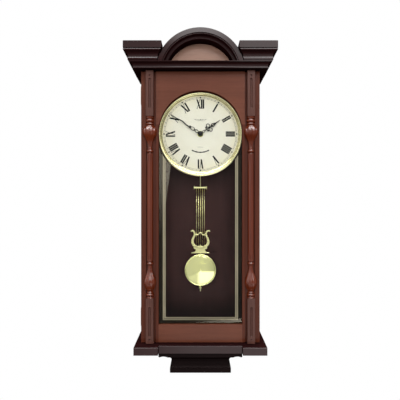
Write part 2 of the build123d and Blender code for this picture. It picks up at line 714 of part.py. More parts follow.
def hinge_door_leaf(z):
    """The door leaf of one butt hinge, with the middle knuckle."""
    half = HINGE_LENGTH / 2
    gap = KNUCKLE_HALF_LENGTH
    leaf = span(HINGE_X, LEAF_INNER_X, DOOR_BACK_Y - LEAF_THICKNESS, DOOR_BACK_Y, z - half, z + half)
    for low, high in ((z - half - 1, z - gap), (z + gap, z + half + 1)):
        leaf -= span(HINGE_X - 4, -CASE_HALF_WIDTH - 0.1, -100, -80, low, high)
    leaf -= rod_z(HINGE_X, HINGE_Y, KNUCKLE_RADIUS, z - half, z + half)
    leaf += knuckle(z, -gap, gap, HINGE_PIN_RADIUS + RUNNING_GAP)
    return leaf - hinge_screws_door()


def hinge_pin(z):
    """The pin of one hinge, with a small ball at each end."""
    half = HINGE_LENGTH / 2
    pin = rod_z(HINGE_X, HINGE_Y, HINGE_PIN_RADIUS, z - half - 1, z + half + 1)
    balls = [Pos(HINGE_X, HINGE_Y, z + side * (half + 2)) * Sphere(KNUCKLE_RADIUS) for side in (-1, 1)]
    return pin + balls


def leaf_screw_heights():
    """The heights of the screws in every hinge leaf."""
    return [z + side * LEAF_SCREW_OFFSET for z in HINGE_HEIGHTS for side in (-1, 1)]


def hinge_screws_case():
    """The four screws of the case leaves."""
    return Part() + [screw_y(LEAF_SCREW_X, z, CASE_FRONT_Y, -80) for z in leaf_screw_heights()]


def hinge_screws_door():
    """The four screws of the door leaves."""
    return Part() + [screw_y(LEAF_SCREW_X, z, DOOR_BACK_Y, -103) for z in leaf_screw_heights()]


def catch_block():
    """The space that the magnetic catch fills in the edge of the side board."""
    return span(CATCH_X - 4, CATCH_X + 4, CASE_FRONT_Y - 0.8, -77, CATCH_Z - 15, CATCH_Z + 15)


def catch_magnet():
    """The magnet of the catch."""
    return span(CATCH_X - 2.5, CATCH_X + 2.5, CASE_FRONT_Y - 0.8, -80, CATCH_Z - 12, CATCH_Z + 12)


def catch_housing():
    """The plastic housing of the catch."""
    return catch_block() - catch_magnet()


def strike_plate():
    """The steel plate on the back of the door that the magnet holds."""
    half = 4.5
    return span(CATCH_X - half, CATCH_X + half, DOOR_BACK_Y - 1, DOOR_BACK_Y, CATCH_Z - 18, CATCH_Z + 18)


# ---------------------------------------------------------------- dial and hands
def dial_board():
    """The board that closes the head of the case and carries the dial and the movement."""
    inner = CASE_HALF_WIDTH - BOARD - FIT_GAP
    face = Pos(0, 45) * Rectangle(2 * inner, 2 * 106.5)
    face += Circle(BEZEL_OUTER_RADIUS - 0.5)
    face -= Circle(BUSH_RADIUS + FIT_GAP)
    board = front_plate(face, DIAL_BOARD_FRONT_Y, DIAL_BOARD_BACK_Y)
    return board - dial_board_screws() - speaker_holes()


def dial_plate():
    """The round metal dial."""
    face = Circle(DIAL_RADIUS) - Circle(BUSH_RADIUS + FIT_GAP)
    return front_plate(face, DIAL_FRONT_Y, DIAL_BOARD_FRONT_Y)


def stroke(x0, y0, x1, y1, width):
    """A straight printed stroke with square ends."""
    length = sqrt((x1 - x0) ** 2 + (y1 - y0) ** 2)
    lean = degrees(atan2(y1 - y0, x1 - x0))
    return Pos((x0 + x1) / 2, (y0 + y1) / 2) * Rot(0, 0, lean) * Rectangle(length, width)


def numeral_shape(text):
    """A Roman numeral, upright, with its foot towards the dial's centre."""
    widths = {"I": 4.4, "V": 11.0, "X": 11.0}
    foot = NUMERAL_INNER_RADIUS
    head = NUMERAL_OUTER_RADIUS
    total = sum(widths[letter] for letter in text)
    shapes = []
    x = -total / 2
    for letter in text:
        middle = x + widths[letter] / 2
        half = widths[letter] / 2 - 1.6
        if letter == "I":
            shapes.append(stroke(middle, foot, middle, head, NUMERAL_THICK))
        if letter == "V":
            shapes.append(stroke(middle - half, head, middle, foot, NUMERAL_THICK))
            shapes.append(stroke(middle + half, head, middle, foot, NUMERAL_THIN))
        if letter == "X":
            shapes.append(stroke(middle - half, head, middle + half, foot, NUMERAL_THICK))
            shapes.append(stroke(middle + half, head, middle - half, foot, NUMERAL_THIN))
        x += widths[letter]
    for y in (foot + 0.5, head - 0.5):
        shapes.append(stroke(-total / 2 + 0.2, y, total / 2 - 0.2, y, NUMERAL_THIN))
    return Sketch() + shapes


def print_on_dial(face):
    """A printed film on the front of the dial."""
    return front_plate(face, DIAL_FRONT_Y - PRINT_THICKNESS, DIAL_FRONT_Y)


def dial_numerals():
    """The twelve printed numerals, all with their feet towards the centre."""
    words = ("XII", "I", "II", "III", "IIII", "V", "VI", "VII", "VIII", "IX", "X", "XI")
    faces = [at_clock(numeral_shape(word), 30 * index) for index, word in enumerate(words)]
    return print_on_dial(Sketch() + faces)


def minute_track():
    """The printed minute track: two circles, sixty bars between them and a dot at each hour."""
    outer = MINUTE_TRACK_RADIUS
    inner = outer - 2.8
    line = 0.35
    middle = (outer + inner) / 2
    track = (Circle(outer) - Circle(outer - line)) + (Circle(inner + line) - Circle(inner))
    bars = [at_clock(Pos(0, middle) * Rectangle(0.5, outer - inner), 6 * n) for n in range(60)]
    dots = [at_clock(Pos(0, middle) * Circle(1.5), 30 * n) for n in range(12)]
    return print_on_dial(track + bars + dots)


def dial_ornament():
    """Two printed flourishes: a pair of scrolls above the centre and a curved band below it."""
    scrolls = []
    for side in (-1, 1):
        scrolls.append(Pos(side * 6.5, 37) * (Circle(3.2) - Circle(2.4)))
        scrolls.append(stroke(side * 1.5, 34.2, side * 12.5, 34.2, 0.7))
    diamond = Pos(0, 37) * Rot(0, 0, 45) * Rectangle(3.2, 3.2)
    band = Circle(47) - Circle(45.6)
    band &= Pos(0, -46) * Rectangle(44, 14)
    studs = [at_clock(Pos(0, 46.3) * Circle(1.5), 180 + turn) for turn in (-18, 0, 18)]
    return print_on_dial(Sketch() + scrolls + diamond + band + studs)


def bezel():
    """The spun brass bezel, with a lip over the edge of the dial."""
    foot = -DIAL_BOARD_FRONT_Y
    crest = -BEZEL_FRONT_Y
    outer = BEZEL_OUTER_RADIUS
    inner = BEZEL_INNER_RADIUS
    rebate = DIAL_RADIUS + 0.3
    section = [(rebate, foot), (outer, foot), (outer, foot + 1.2, -0.2), (outer - 4.0, crest - 0.6, -0.15)]
    section += [(outer - 7.2, crest - 1.2), (outer - 7.2, crest - 1.8, 0.2), (inner, foot + 2.0)]
    section += [(inner, foot + 1.3), (rebate, foot + 1.3)]
    return turned_y(closed_face(section))


def minute_hand():
    """The long serpentine hand: a wavy arm, a pierced loop and an eye round the arbor."""
    eye = Circle(4.2) - Circle(MINUTE_ARBOR_RADIUS)
    swells = [(0.9, 3.8, -0.18), (1.1, 22.0, -0.12), (0.9, 33.0, -0.01), (1.4, 60.0)]
    arm = symmetric_face(swells + [(0, MINUTE_HAND_LENGTH)])
    slot = Pos(0, 13) * Ellipse(2.2, 6.0)
    face = at_clock(arm - slot + eye, MINUTE_HAND_ANGLE)
    return front_plate(face, MINUTE_HAND_FRONT_Y, MINUTE_HAND_FRONT_Y + HAND_THICKNESS)


def hour_hand():
    """The short hand: a pierced trefoil on an arm that ends in a spade."""
    eye = Circle(5.0) - Circle(HOUR_PIPE_RADIUS)
    arm = closed_face([(-1.2, 4.5), (-1.0, 30.0), (0, HOUR_HAND_LENGTH), (1.0, 30.0), (1.2, 4.5)])
    lobe = Circle(4.6) - Circle(2.4)
    lobes = [Pos(x, y) * lobe for x, y in ((-4.6, 25.0), (4.6, 25.0), (0, 32.0))]
    spade = symmetric_face([(0.5, 36.0, -0.22), (0.5, 54.0)]) - Pos(0, 43.5) * Ellipse(1.8, 4.4)
    loop = Pos(0, 12) * (Ellipse(3.4, 6.5) - Ellipse(2.0, 4.8))
    face = at_clock(arm + lobes + spade + loop + eye, HOUR_HAND_ANGLE)
    return front_plate(face, HOUR_HAND_FRONT_Y, HOUR_HAND_FRONT_Y + HAND_THICKNESS)


def hand_nut():
    """The black cap nut that holds the minute hand."""
    cap = rod_y(0, 0, HAND_NUT_RADIUS, MINUTE_HAND_FRONT_Y, HAND_NUT_FRONT_Y)
    cap = fillet(cap.edges().group_by(Axis.Y)[0], 2.4)
    return cap - rod_y(0, 0, MINUTE_ARBOR_RADIUS, MINUTE_ARBOR_FRONT_Y, MINUTE_HAND_FRONT_Y + 1)


def dial_nut():
    """The hexagon nut that clamps the movement's bush to the dial."""
    return front_plate(RegularPolygon(7.2, 6) - Circle(BUSH_RADIUS), BUSH_FRONT_Y, DIAL_NUT_BACK_Y)


def dial_washer():
    """The thin washer under the dial nut."""
    return front_plate(Circle(8.0) - Circle(BUSH_RADIUS + 0.1), DIAL_NUT_BACK_Y, DIAL_FRONT_Y)


# ---------------------------------------------------------------- movement
CANNON_DISTANCE = GEAR_MODULE * (CANNON_TEETH + MINUTE_WHEEL_TEETH) / 2
THIRD_DISTANCE = GEAR_MODULE * (THIRD_PINION_TEETH + CENTRE_WHEEL_TEETH) / 2
SET_DISTANCE = GEAR_MODULE * (SET_PINION_TEETH + MINUTE_WHEEL_TEETH) / 2
THIRD_ANGLE = 240.0
THIRD_X, THIRD_Z = clock_point(THIRD_DISTANCE, THIRD_ANGLE)
SET_X = SET_DISTANCE
SET_Z = CANNON_DISTANCE
THIRD_WHEEL_RADIUS = 10.8
ARBOR_RADIUS = 1.0
PLATE_FRONT_Y = -64.0
PLATE_BACK_Y = -62.4
BOARD_FRONT_Y = -58.0
BOARD_BACK_Y = -56.4
SWITCH_Z = -24.0
SWITCH_X = (-30.0, -8.0)
SWITCH_TRAVEL = 3.0


def movement_box(y0, y1, inset=0.0):
    """The outline block of the movement, or its inside when inset by the wall."""
    half = MOVEMENT_HALF_WIDTH - inset
    block = span(-half, half, y0, y1, MOVEMENT_BOTTOM_Z + inset, MOVEMENT_TOP_Z - inset)
    return soft_edges(block, 4.0 - inset, Axis.Y)


def corner_posts(y0, y1, radius):
    """Four posts in the corners of the movement."""
    x = MOVEMENT_HALF_WIDTH - 6
    places = [(side * x, z) for side in (-1, 1) for z in (MOVEMENT_BOTTOM_Z + 6, MOVEMENT_TOP_Z - 6)]
    return Part() + [rod_y(px, pz, radius, y0, y1) for px, pz in places]


def movement_front_shell():
    """The front half of the movement case, with the threaded bush and the arbor bearings."""
    inside = MOVEMENT_FRONT_Y + SHELL
    shell = movement_box(MOVEMENT_FRONT_Y, MOVEMENT_SEAM_Y)
    shell -= movement_box(inside, MOVEMENT_SEAM_Y + 1, SHELL)
    shell += rod_y(0, 0, BUSH_RADIUS, BUSH_FRONT_Y, MOVEMENT_FRONT_Y)
    shell += rod_y(THIRD_X, THIRD_Z, 2.2, inside, -74.5)
    shell += rod_y(SET_X, SET_Z, 2.2, inside, -74.6)
    shell += rod_y(0, CANNON_DISTANCE, LAYSHAFT_RADIUS, inside, -71.2)
    shell += rod_y(0, CANNON_DISTANCE, LAYSHAFT_RADIUS + 0.8, inside, -76.9)
    shell += corner_posts(inside, MOVEMENT_SEAM_Y, 3.0)
    shell -= corner_posts(-70, MOVEMENT_SEAM_Y + 1, 1.1)
    shell -= rod_y(0, 0, HOUR_PIPE_RADIUS + RUNNING_GAP, -90, inside)
    shell -= rod_y(THIRD_X, THIRD_Z, ARBOR_RADIUS + RUNNING_GAP, -77.2, -74)
    return shell - rod_y(SET_X, SET_Z, ARBOR_RADIUS + RUNNING_GAP, -77.2, -74)


def battery_opening(inset):
    """The outline block of the battery bay; inset shrinks it on every side."""
    half = BATTERY_LENGTH / 2 + 5.0 - inset
    reach = BATTERY_RADIUS + 2.2 - inset
    return span(-half, half, -75 + inset, MOVEMENT_BACK_Y, BATTERY_Z - reach, BATTERY_Z + reach)


def switch_slots():
    """The slots in the rear cover for the two setting sliders."""
    half = SWITCH_TRAVEL + 2.0
    return Part() + [span(x - half, x + half, -50, -40, SWITCH_Z - 1.6, SWITCH_Z + 1.6) for x in SWITCH_X]


def movement_rear_cover():
    """The rear half of the movement case, open at the battery bay and the setting sliders."""
    inside = MOVEMENT_BACK_Y - SHELL
    seam = MOVEMENT_SEAM_Y + 0.1
    cover = movement_box(seam, MOVEMENT_BACK_Y) - movement_box(seam - 1, inside, SHELL)
    cover += corner_posts(seam, inside, 3.0)
    cover -= battery_opening(-0.2)
    cover -= switch_slots()
    cover -= rod_y(SET_X, SET_Z, ARBOR_RADIUS + RUNNING_GAP, -50, -40)
    return cover - movement_screws()


def movement_screws():
    """The four screws that close the movement case."""
    x = MOVEMENT_HALF_WIDTH - 6
    places = [(side * x, z) for side in (-1, 1) for z in (MOVEMENT_BOTTOM_Z + 6, MOVEMENT_TOP_Z - 6)]
    return Part() + [screw_y(px, pz, MOVEMENT_BACK_Y, -69.5, 2.0, 1.1) for px, pz in places]


def battery_tray():
    """The tray that holds the battery, open to the rear."""
    return battery_opening(0) - battery_opening(1.2) - span(-200, 200, -44.1, -40, -200, 200)


def battery():
    """The single dry cell, with its raised positive end."""
    half = BATTERY_LENGTH / 2
    shoulder = half - 1.5
    can = soft_edges(rod_x(BATTERY_Y, BATTERY_Z, BATTERY_RADIUS - 0.3, -half, shoulder), 1.0)
    return can + rod_x(BATTERY_Y, BATTERY_Z, 3.0, shoulder, half)


def battery_contacts():
    """The flat positive contact and the folded negative spring."""
    half = BATTERY_LENGTH / 2
    seat = -half - 2.7
    turn = 0.9
    sheet = (BATTERY_Y - 5, BATTERY_Y + 5, BATTERY_Z - 6, BATTERY_Z + 6)
    plate = span(half, half + 0.5, *sheet)
    base = span(seat - 0.5, seat, *sheet)
    starts = [(5.0 - step, seat + turn * step) for step in range(3)]
    coil = Part() + [rod_x(BATTERY_Y, BATTERY_Z, radius, x, x + turn) for radius, x in starts]
    return plate + base + (coil - rod_x(BATTERY_Y, BATTERY_Z, 2.0, seat - 0.3, -half))


def train_plate():
    """The plate behind the train, with the rear bearings of the arbors and four feet on the case posts."""
    plate = span(-34, 34, PLATE_FRONT_Y, PLATE_BACK_Y, -28, 25.5)
    holes = ((0, 0, MINUTE_ARBOR_RADIUS), (THIRD_X, THIRD_Z, ARBOR_RADIUS), (SET_X, SET_Z, ARBOR_RADIUS))
    for x, z, radius in holes:
        plate -= rod_y(x, z, radius + RUNNING_GAP, -70, -60)
    inside = MOVEMENT_FRONT_Y + SHELL
    places = [(x, z) for x in (-30, 30) for z in (-24, 22)]
    return plate + [rod_y(x, z, 2.5, inside, PLATE_FRONT_Y) for x, z in places]


def hour_wheel():
    """The hour wheel and the pipe that carries the hour hand."""
    wheel = gear(HOUR_WHEEL_TEETH, 0, 0, -76.5, -75.3, 0, 180 / HOUR_WHEEL_TEETH)
    pipe = rod_y(0, 0, HOUR_PIPE_RADIUS, -91.2, -75.3)
    return wheel + pipe - rod_y(0, 0, MINUTE_ARBOR_RADIUS + RUNNING_GAP, -92, -75)


def minute_arbor():
    """The steel arbor that carries the minute hand."""
    return rod_y(0, 0, MINUTE_ARBOR_RADIUS, MINUTE_ARBOR_FRONT_Y, -62.6)


def cannon_pinion():
    """The pinion on the minute arbor that drives the motion work."""
    return gear(CANNON_TEETH, 0, 0, -73.5, -71.5, MINUTE_ARBOR_RADIUS, 180 / CANNON_TEETH)


def centre_wheel():
    """The wheel on the minute arbor that the train drives."""
    return gear(CENTRE_WHEEL_TEETH, 0, 0, -69.5, -68.3, MINUTE_ARBOR_RADIUS)


def minute_wheel():
    """The layshaft wheel and its pinion, moulded in one, on a fixed stud."""
    wheel = gear(MINUTE_WHEEL_TEETH, 0, CANNON_DISTANCE, -73.2, -72.0, 0)
    pinion = gear(MINUTE_PINION_TEETH, 0, CANNON_DISTANCE, -76.7, -73.2, 0)
    bore = rod_y(0, CANNON_DISTANCE, LAYSHAFT_RADIUS + RUNNING_GAP, -78, -70)
    return wheel + pinion - bore


def third_wheel():
    """The third wheel, its pinion and its arbor, moulded in one."""
    turn = THIRD_ANGLE - 180 + 180 / THIRD_PINION_TEETH
    pinion = gear(THIRD_PINION_TEETH, THIRD_X, THIRD_Z, -69.8, -66.5, 0, turn)
    wheel_teeth = round(2 * THIRD_WHEEL_RADIUS / GEAR_MODULE)
    wheel = gear(wheel_teeth, THIRD_X, THIRD_Z, -66.5, -65.5, 0)
    return pinion + wheel + rod_y(THIRD_X, THIRD_Z, ARBOR_RADIUS, -77.0, -62.6)


def set_arbor():
    """The hand-setting arbor and its pinion, which stays in mesh with the minute wheel."""
    pinion = gear(SET_PINION_TEETH, SET_X, SET_Z, -73.4, -71.8, 0, 180 / SET_PINION_TEETH)
    return pinion + rod_y(SET_X, SET_Z, ARBOR_RADIUS, -77.0, -40.5)


def set_knob():
    """The knurled knob on the setting arbor, behind the movement."""
    knob = front_plate(gear_face(24, 0), MOVEMENT_BACK_Y + 0.3, -38.5)
    knob = Pos(SET_X, 0, SET_Z) * knob
    return knob - rod_y(SET_X, SET_Z, ARBOR_RADIUS, -50, -40.5)


def stepper_motor():
    """The sealed stepping motor, with its output pinion inside."""
    return soft_edges(span(-31, -4, PLATE_BACK_Y, BOARD_FRONT_Y, -26, 8), 1.0, Axis.Y)


def circuit_board():
    """The circuit board of the motor, chime and pendulum drive."""
    board = span(-37, 37, BOARD_FRONT_Y, BOARD_BACK_Y, -35, 25.5)
    return board - rod_y(SET_X, SET_Z, 2.0, -70, -40)


def chip_package():
    """The chime circuit's chip and the two capacitors beside it."""
    chip = span(14, 30, BOARD_BACK_Y, BOARD_BACK_Y + 2.4, -20, -8)
    cans = [rod_y(x, -27, 2.5, BOARD_BACK_Y, BOARD_BACK_Y + 7) for x in (18, 28)]
    return Part() + [chip] + cans


def slider_button(x):
    """One setting slider: a foot behind the cover and a ridged tab through its slot."""
    foot = span(x - 5, x + 5, -49.0, -46.3, SWITCH_Z - 4, SWITCH_Z + 4)
    tab = span(x - 1.8, x + 1.8, -46.3, -41.5, SWITCH_Z - 1.4, SWITCH_Z + 1.4)
    return foot + tab


def slider_rail():
    """The switch body on the circuit board that both sliders run on."""
    return span(-37, 1, BOARD_BACK_Y, -49.2, SWITCH_Z - 4, SWITCH_Z + 4)


def drive_coil():
    """The coil in the foot of the movement that swings the pendulum."""
    core = rod_x(-66, -33, 2.0, -13, 13)
    winding = rod_x(-66, -33, 4.0, -9, 9)
    return core + winding


# ---------------------------------------------------------------- speaker
def speaker_holes():
    """The sound holes in the dial board; the dial and the door's top rail hide them."""
    spots = [(SPEAKER_X + 6 * i, SPEAKER_Z + 6 * j) for i in (-1, 0, 1) for j in (-1, 0, 1)]
    return Part() + [rod_y(x, z, 1.6, -90, -78) for x, z in spots]


def speaker_frame():
    """The pressed basket of the chime's loudspeaker."""
    rim = SPEAKER_RADIUS
    section = [(rim, 79.8), (rim, 78.8), (rim - 3.5, 78.8), (13.5, 68.0), (13.5, 67.0)]
    section += [(0, 67.0), (0, 68.2), (12.3, 68.2), (rim - 4.6, 79.8)]
    return Pos(SPEAKER_X, 0, SPEAKER_Z) * turned_y(closed_face(section))


def speaker_cone():
    """The paper cone and its dust cap."""
    rim = SPEAKER_RADIUS
    section = [(rim - 4.8, 79.6), (rim - 5.4, 79.6), (9.0, 70.2), (0, 70.2), (0, 69.4), (9.4, 69.4)]
    return Pos(SPEAKER_X, 0, SPEAKER_Z) * turned_y(closed_face(section))


def speaker_magnet():
    """The magnet on the back of the speaker."""
    return rod_y(SPEAKER_X, SPEAKER_Z, 12.0, -67.0, -59.0)


def speaker_wires():
    """The two wires from the movement to the speaker."""
    wires = []
    for offset in (0, 2.2):
        start = (MOVEMENT_HALF_WIDTH, -60, 52 + offset)
        middle = (66, -57.5, 70 + offset)
        end = (SPEAKER_X - 2 + offset, -58.3, SPEAKER_Z)
        line = Spline(start, middle, end, tangents=[(1, 0, 0), (0.3, 0, 1)])
        section = Plane(origin=line @ 0, z_dir=line % 0) * Circle(0.7)
        wires.append(sweep(section, path=line))
    return Part() + wires


# ---------------------------------------------------------------- pendulum
def pendulum_bracket():
    """The bracket under the movement that holds the pendulum's pivot pin."""
    top = span(-10, 10, -72, -56, MOVEMENT_BOTTOM_Z - 2, MOVEMENT_BOTTOM_Z)
    cheeks = [span(-7, 7, y, y + 2, PIVOT_Z - 5, MOVEMENT_BOTTOM_Z - 2) for y in (-72, -58)]
    return top + cheeks - rod_y(0, PIVOT_Z, ARBOR_RADIUS, -80, -50)


def pivot_pin():
    """The pin that the pendulum swings on."""
    return rod_y(0, PIVOT_Z, ARBOR_RADIUS, -72.5, -55.5)


def pendulum_arm():
    """The swinging arm below the movement: magnet pocket, pivot eye and a socket for the rod."""
    arm = span(-2.5, 2.5, -67, -61, PIVOT_Z - 16, PIVOT_Z + 6)
    arm += rod_y(0, PIVOT_Z, 4.5, -67, -61)
    arm -= rod_y(0, PIVOT_Z, ARBOR_RADIUS + RUNNING_GAP, -80, -50)
    arm -= drive_magnet()
    return arm - rod_z(0, PENDULUM_Y, 1.1, PIVOT_Z - 20, PIVOT_Z - 10)


def drive_magnet():
    """The magnet in the top of the arm, under the drive coil."""
    return rod_z(0, PENDULUM_Y, 1.8, PIVOT_Z + 2.6, PIVOT_Z + 6)


def pendulum_rod():
    """The suspension rod from the arm to the crossbar."""
    return rod_z(0, PENDULUM_Y, 1.1, CROSSBAR_Z, PIVOT_Z - 10)


def crossbar():
    """The waisted bar that the strings hang from."""
    half = 17.0
    waist = half - 3.0
    section = [(-half, 4.6), (-half, -4.6), (-waist, -4.0, -0.08), (waist, -4.0), (half, -4.6), (half, 4.6)]
    section += [(waist, 4.0, -0.08), (-waist, 4.0)]
    bar = Pos(0, 0, CROSSBAR_Z) * front_plate(closed_face(section), PENDULUM_Y - 2, PENDULUM_Y + 2)
    return bar - pendulum_rod() - pendulum_strings()


def pendulum_strings():
    """The five rods that stand for the strings of the lyre."""
    first = -(STRING_COUNT - 1) / 2
    places = [(first + index) * STRING_SPACING for index in range(STRING_COUNT)]
    y = PENDULUM_Y + STRING_RADIUS
    return Part() + [rod_z(x, y, STRING_RADIUS, -288, CROSSBAR_Z - 2) for x in places]


def lyre():
    """The flat brass lyre: two horned arms, a wavy yoke, a bowl and a spread foot."""
    outer = ((14, -248), (24.5, -245), (16.5, -256), (19.5, -264), (25, -280), (14, -294))
    inner = ((9, -288), (16.5, -282), (15.5, -272), (13.5, -262), (14.2, -254), (20, -247.5), (14, -248))
    side = outline(Spline(*outer), Line((14, -294), (9, -288)), Spline(*inner))
    both = side + mirror(side, Plane.YZ)
    low_wave = [(0, -252.5), (3.5, -254.5), (8, -259.5), (15.5, -260)]
    high_wave = [(0, -249), (3.5, -251), (8, -256), (15.5, -256.8)]
    waves = [Spline(*[(-x, z) for x, z in reversed(wave[1:])], *wave) for wave in (low_wave, high_wave)]
    ends = [Line((x, -260), (x, -256.8)) for x in (-15.5, 15.5)]
    yoke = outline(*waves, *ends)
    bowl = [(-16, -296), (-16, -293, -0.12), (-5, -286.5), (-4, -284), (4, -284), (5, -286.5, -0.12)]
    bowl += [(16, -293), (16, -296)]
    foot = [(-16, -292), (16, -292), (15, -299, 0.25), (23.4, LYRE_FOOT_Z)]
    foot += [(-23.4, LYRE_FOOT_Z, 0.25), (-15, -299)]
    face = both + yoke + closed_face(bowl) + closed_face(foot)
    return front_plate(face, PENDULUM_Y - LYRE_THICKNESS, PENDULUM_Y)


def rating_screw():
    """The threaded rod behind the bob that the rating nut runs on."""
    y = PENDULUM_Y + RATING_SCREW_RADIUS
    return rod_z(0, y, RATING_SCREW_RADIUS, RATING_SCREW_BOTTOM_Z, RATING_SCREW_TOP_Z)


def rating_screw_bore():
    """The clearance bore for the rating screw, as the solid to cut away."""
    y = PENDULUM_Y + RATING_SCREW_RADIUS
    return rod_z(0, y, RATING_SCREW_RADIUS + RUNNING_GAP, RATING_SCREW_BOTTOM_Z, RATING_SCREW_TOP_Z)


def bob_shell():
    """The domed front of the bob, with holes in its rim for the rating screw."""
    wall = 1.2
    shell = rod_y(0, BOB_Z, BOB_RADIUS, BOB_RIM_Y, BOB_BACK_Y)
    shell = fillet(shell.edges().group_by(Axis.Y)[0], 1.0)
    shell += dome_y(BOB_Z, BOB_RIM_Y, BOB_RADIUS - 1.6, 4.8)
    hollow = rod_y(0, BOB_Z, BOB_RADIUS - wall, BOB_RIM_Y + wall, BOB_BACK_Y + 1)
    hollow += dome_y(BOB_Z, BOB_RIM_Y + wall, BOB_RADIUS - 3.0, 4.6)
    return shell - hollow - rating_screw_bore()


def bob_back():
    """The flat disc that closes the bob."""
    return rod_y(0, BOB_Z, BOB_RADIUS - 1.3, BOB_BACK_Y - 1.0, BOB_BACK_Y)


def rating_nut():
    """The knurled nut under the bob that raises and lowers it."""
    y = PENDULUM_Y + RATING_SCREW_RADIUS
    top = BOB_Z - BOB_RADIUS - 0.1
    nut = rod_z(0, y, RATING_NUT_RADIUS, RATING_NUT_BOTTOM_Z, top)
    floor = RATING_NUT_RADIUS - 0.3
    groove = span(floor, RATING_NUT_RADIUS + 1, -0.3, 0.3, RATING_NUT_BOTTOM_Z - 1, top + 1)
    nut -= [Pos(0, y, 0) * Rot(0, 0, 30 * index) * groove for index in range(12)]
    return nut - rating_screw_bore()


# ---------------------------------------------------------------- write the parts
def group(*shapes):
    """Separate pieces that share one file, side by side and not fused."""
    return Compound([solid for shape in shapes for solid in shape.solids()])


def both_sides(*shapes):
    """The given right-hand pieces and their mirror images."""
    return group(*[piece for shape in shapes for piece in (shape, mirrored(shape))])


def at_each_hinge(build):
    """The same hinge piece at every hinge."""
    return group(*[build(z) for z in HINGE_HEIGHTS])


def write_case():
    """The case, its crown, its base and its fixed metalwork."""
    save("side_panels", group(side_panel_left(), side_panel_right()))
    save("back_panel", back_panel())
    save("access_cover", access_cover())
    save("top_board", top_board())
    save("dial_cleats", both_sides(dial_cleat_right()))
    save("hanger_plate", hanger_plate())
    save("case_screws", group(hanger_screws(), hinge_screws_case(), dial_board_screws(), movement_screws()))
    save("cornice", group(cornice_front(), both_sides(cornice_return_right())))
    save("crown_caps", both_sides(crown_cap_right()))
    save("arch_moulding", arch_moulding())
    save("arch_tympanum", arch_tympanum())
    save("base_blocks", group(base_board(), both_sides(plinth_block_right())))
    save("corbel", group(corbel_moulding(), corbel_plate()))
    save("hinge_case_leaves", at_each_hinge(hinge_case_leaf))
    save("hinge_pins", at_each_hinge(hinge_pin))
    save("magnetic_catch", group(catch_housing(), catch_magnet()))


def write_door():
    """The door with its columns, glass and metalwork."""
    save("door_stiles", group(door_stile_left(), door_stile_right()))
    save("door_top_rail", door_top_rail())
    save("door_bottom_rail", door_bottom_rail())
    save("columns", both_sides(column_right()))
    save("column_blocks", both_sides(capital_block_right(), pedestal_block_right()))
    save("glass_pane", glass_pane())
    save("glass_printing", group(glass_border_black(), glass_border_gold()))
    strips = (glass_retainer_arch(), glass_retainer_bottom(), both_sides(glass_retainer_right()))
    save("glass_retainers", group(*strips))
    save("hinge_door_leaves", at_each_hinge(hinge_door_leaf))
    save("door_screws", hinge_screws_door())
    save("strike_plate", strike_plate())


def write_dial():
    """The dial, the bezel and the hands."""
    save("dial_board", dial_board())
    save("dial_plate", dial_plate())
    save("dial_printing", group(dial_numerals(), minute_track(), dial_ornament()))
    save("bezel", bezel())
    save("dial_nut", group(dial_nut(), dial_washer()))
    save("minute_hand", minute_hand())
    save("hour_hand", hour_hand())
    save("hand_nut", hand_nut())


def write_movement():
    """The battery movement, its speaker and its controls."""
    save("movement_front_shell", movement_front_shell())
    save("movement_rear_cover", group(movement_rear_cover(), battery_tray()))
    save("battery", battery())
    save("battery_contacts", battery_contacts())
    save("train_plate", train_plate())
    save("stepper_motor", stepper_motor())
    save("circuit_board", group(circuit_board(), chip_package(), slider_rail(), drive_coil()))
    save("speaker", group(speaker_frame(), speaker_cone(), speaker_magnet()))
    save("speaker_wires", speaker_wires())
    save("hour_wheel", hour_wheel())
    save("minute_arbor", minute_arbor() + cannon_pinion())
    save("centre_wheel", centre_wheel())
    save("minute_wheel", minute_wheel())
    save("third_wheel", third_wheel())
    save("set_knob", set_arbor() + set_knob())
    save("chime_slider", slider_button(SWITCH_X[0]))
    save("volume_slider", slider_button(SWITCH_X[1]))


def write_pendulum():
    """The pendulum, from its bracket to the rating nut."""
    save("pendulum_bracket", group(pendulum_bracket(), pivot_pin()))
    save("pendulum_arm", group(pendulum_arm(), drive_magnet()))
    save("pendulum_rod", pendulum_rod())
    save("lyre_strings", group(crossbar(), pendulum_strings()))
    save("lyre", lyre())
    save("rating_screw", rating_screw())
    save("pendulum_bob", group(bob_shell(), bob_back()))
    save("rating_nut", rating_nut())


write_case()
write_door()
write_dial()
write_movement()
write_pendulum()
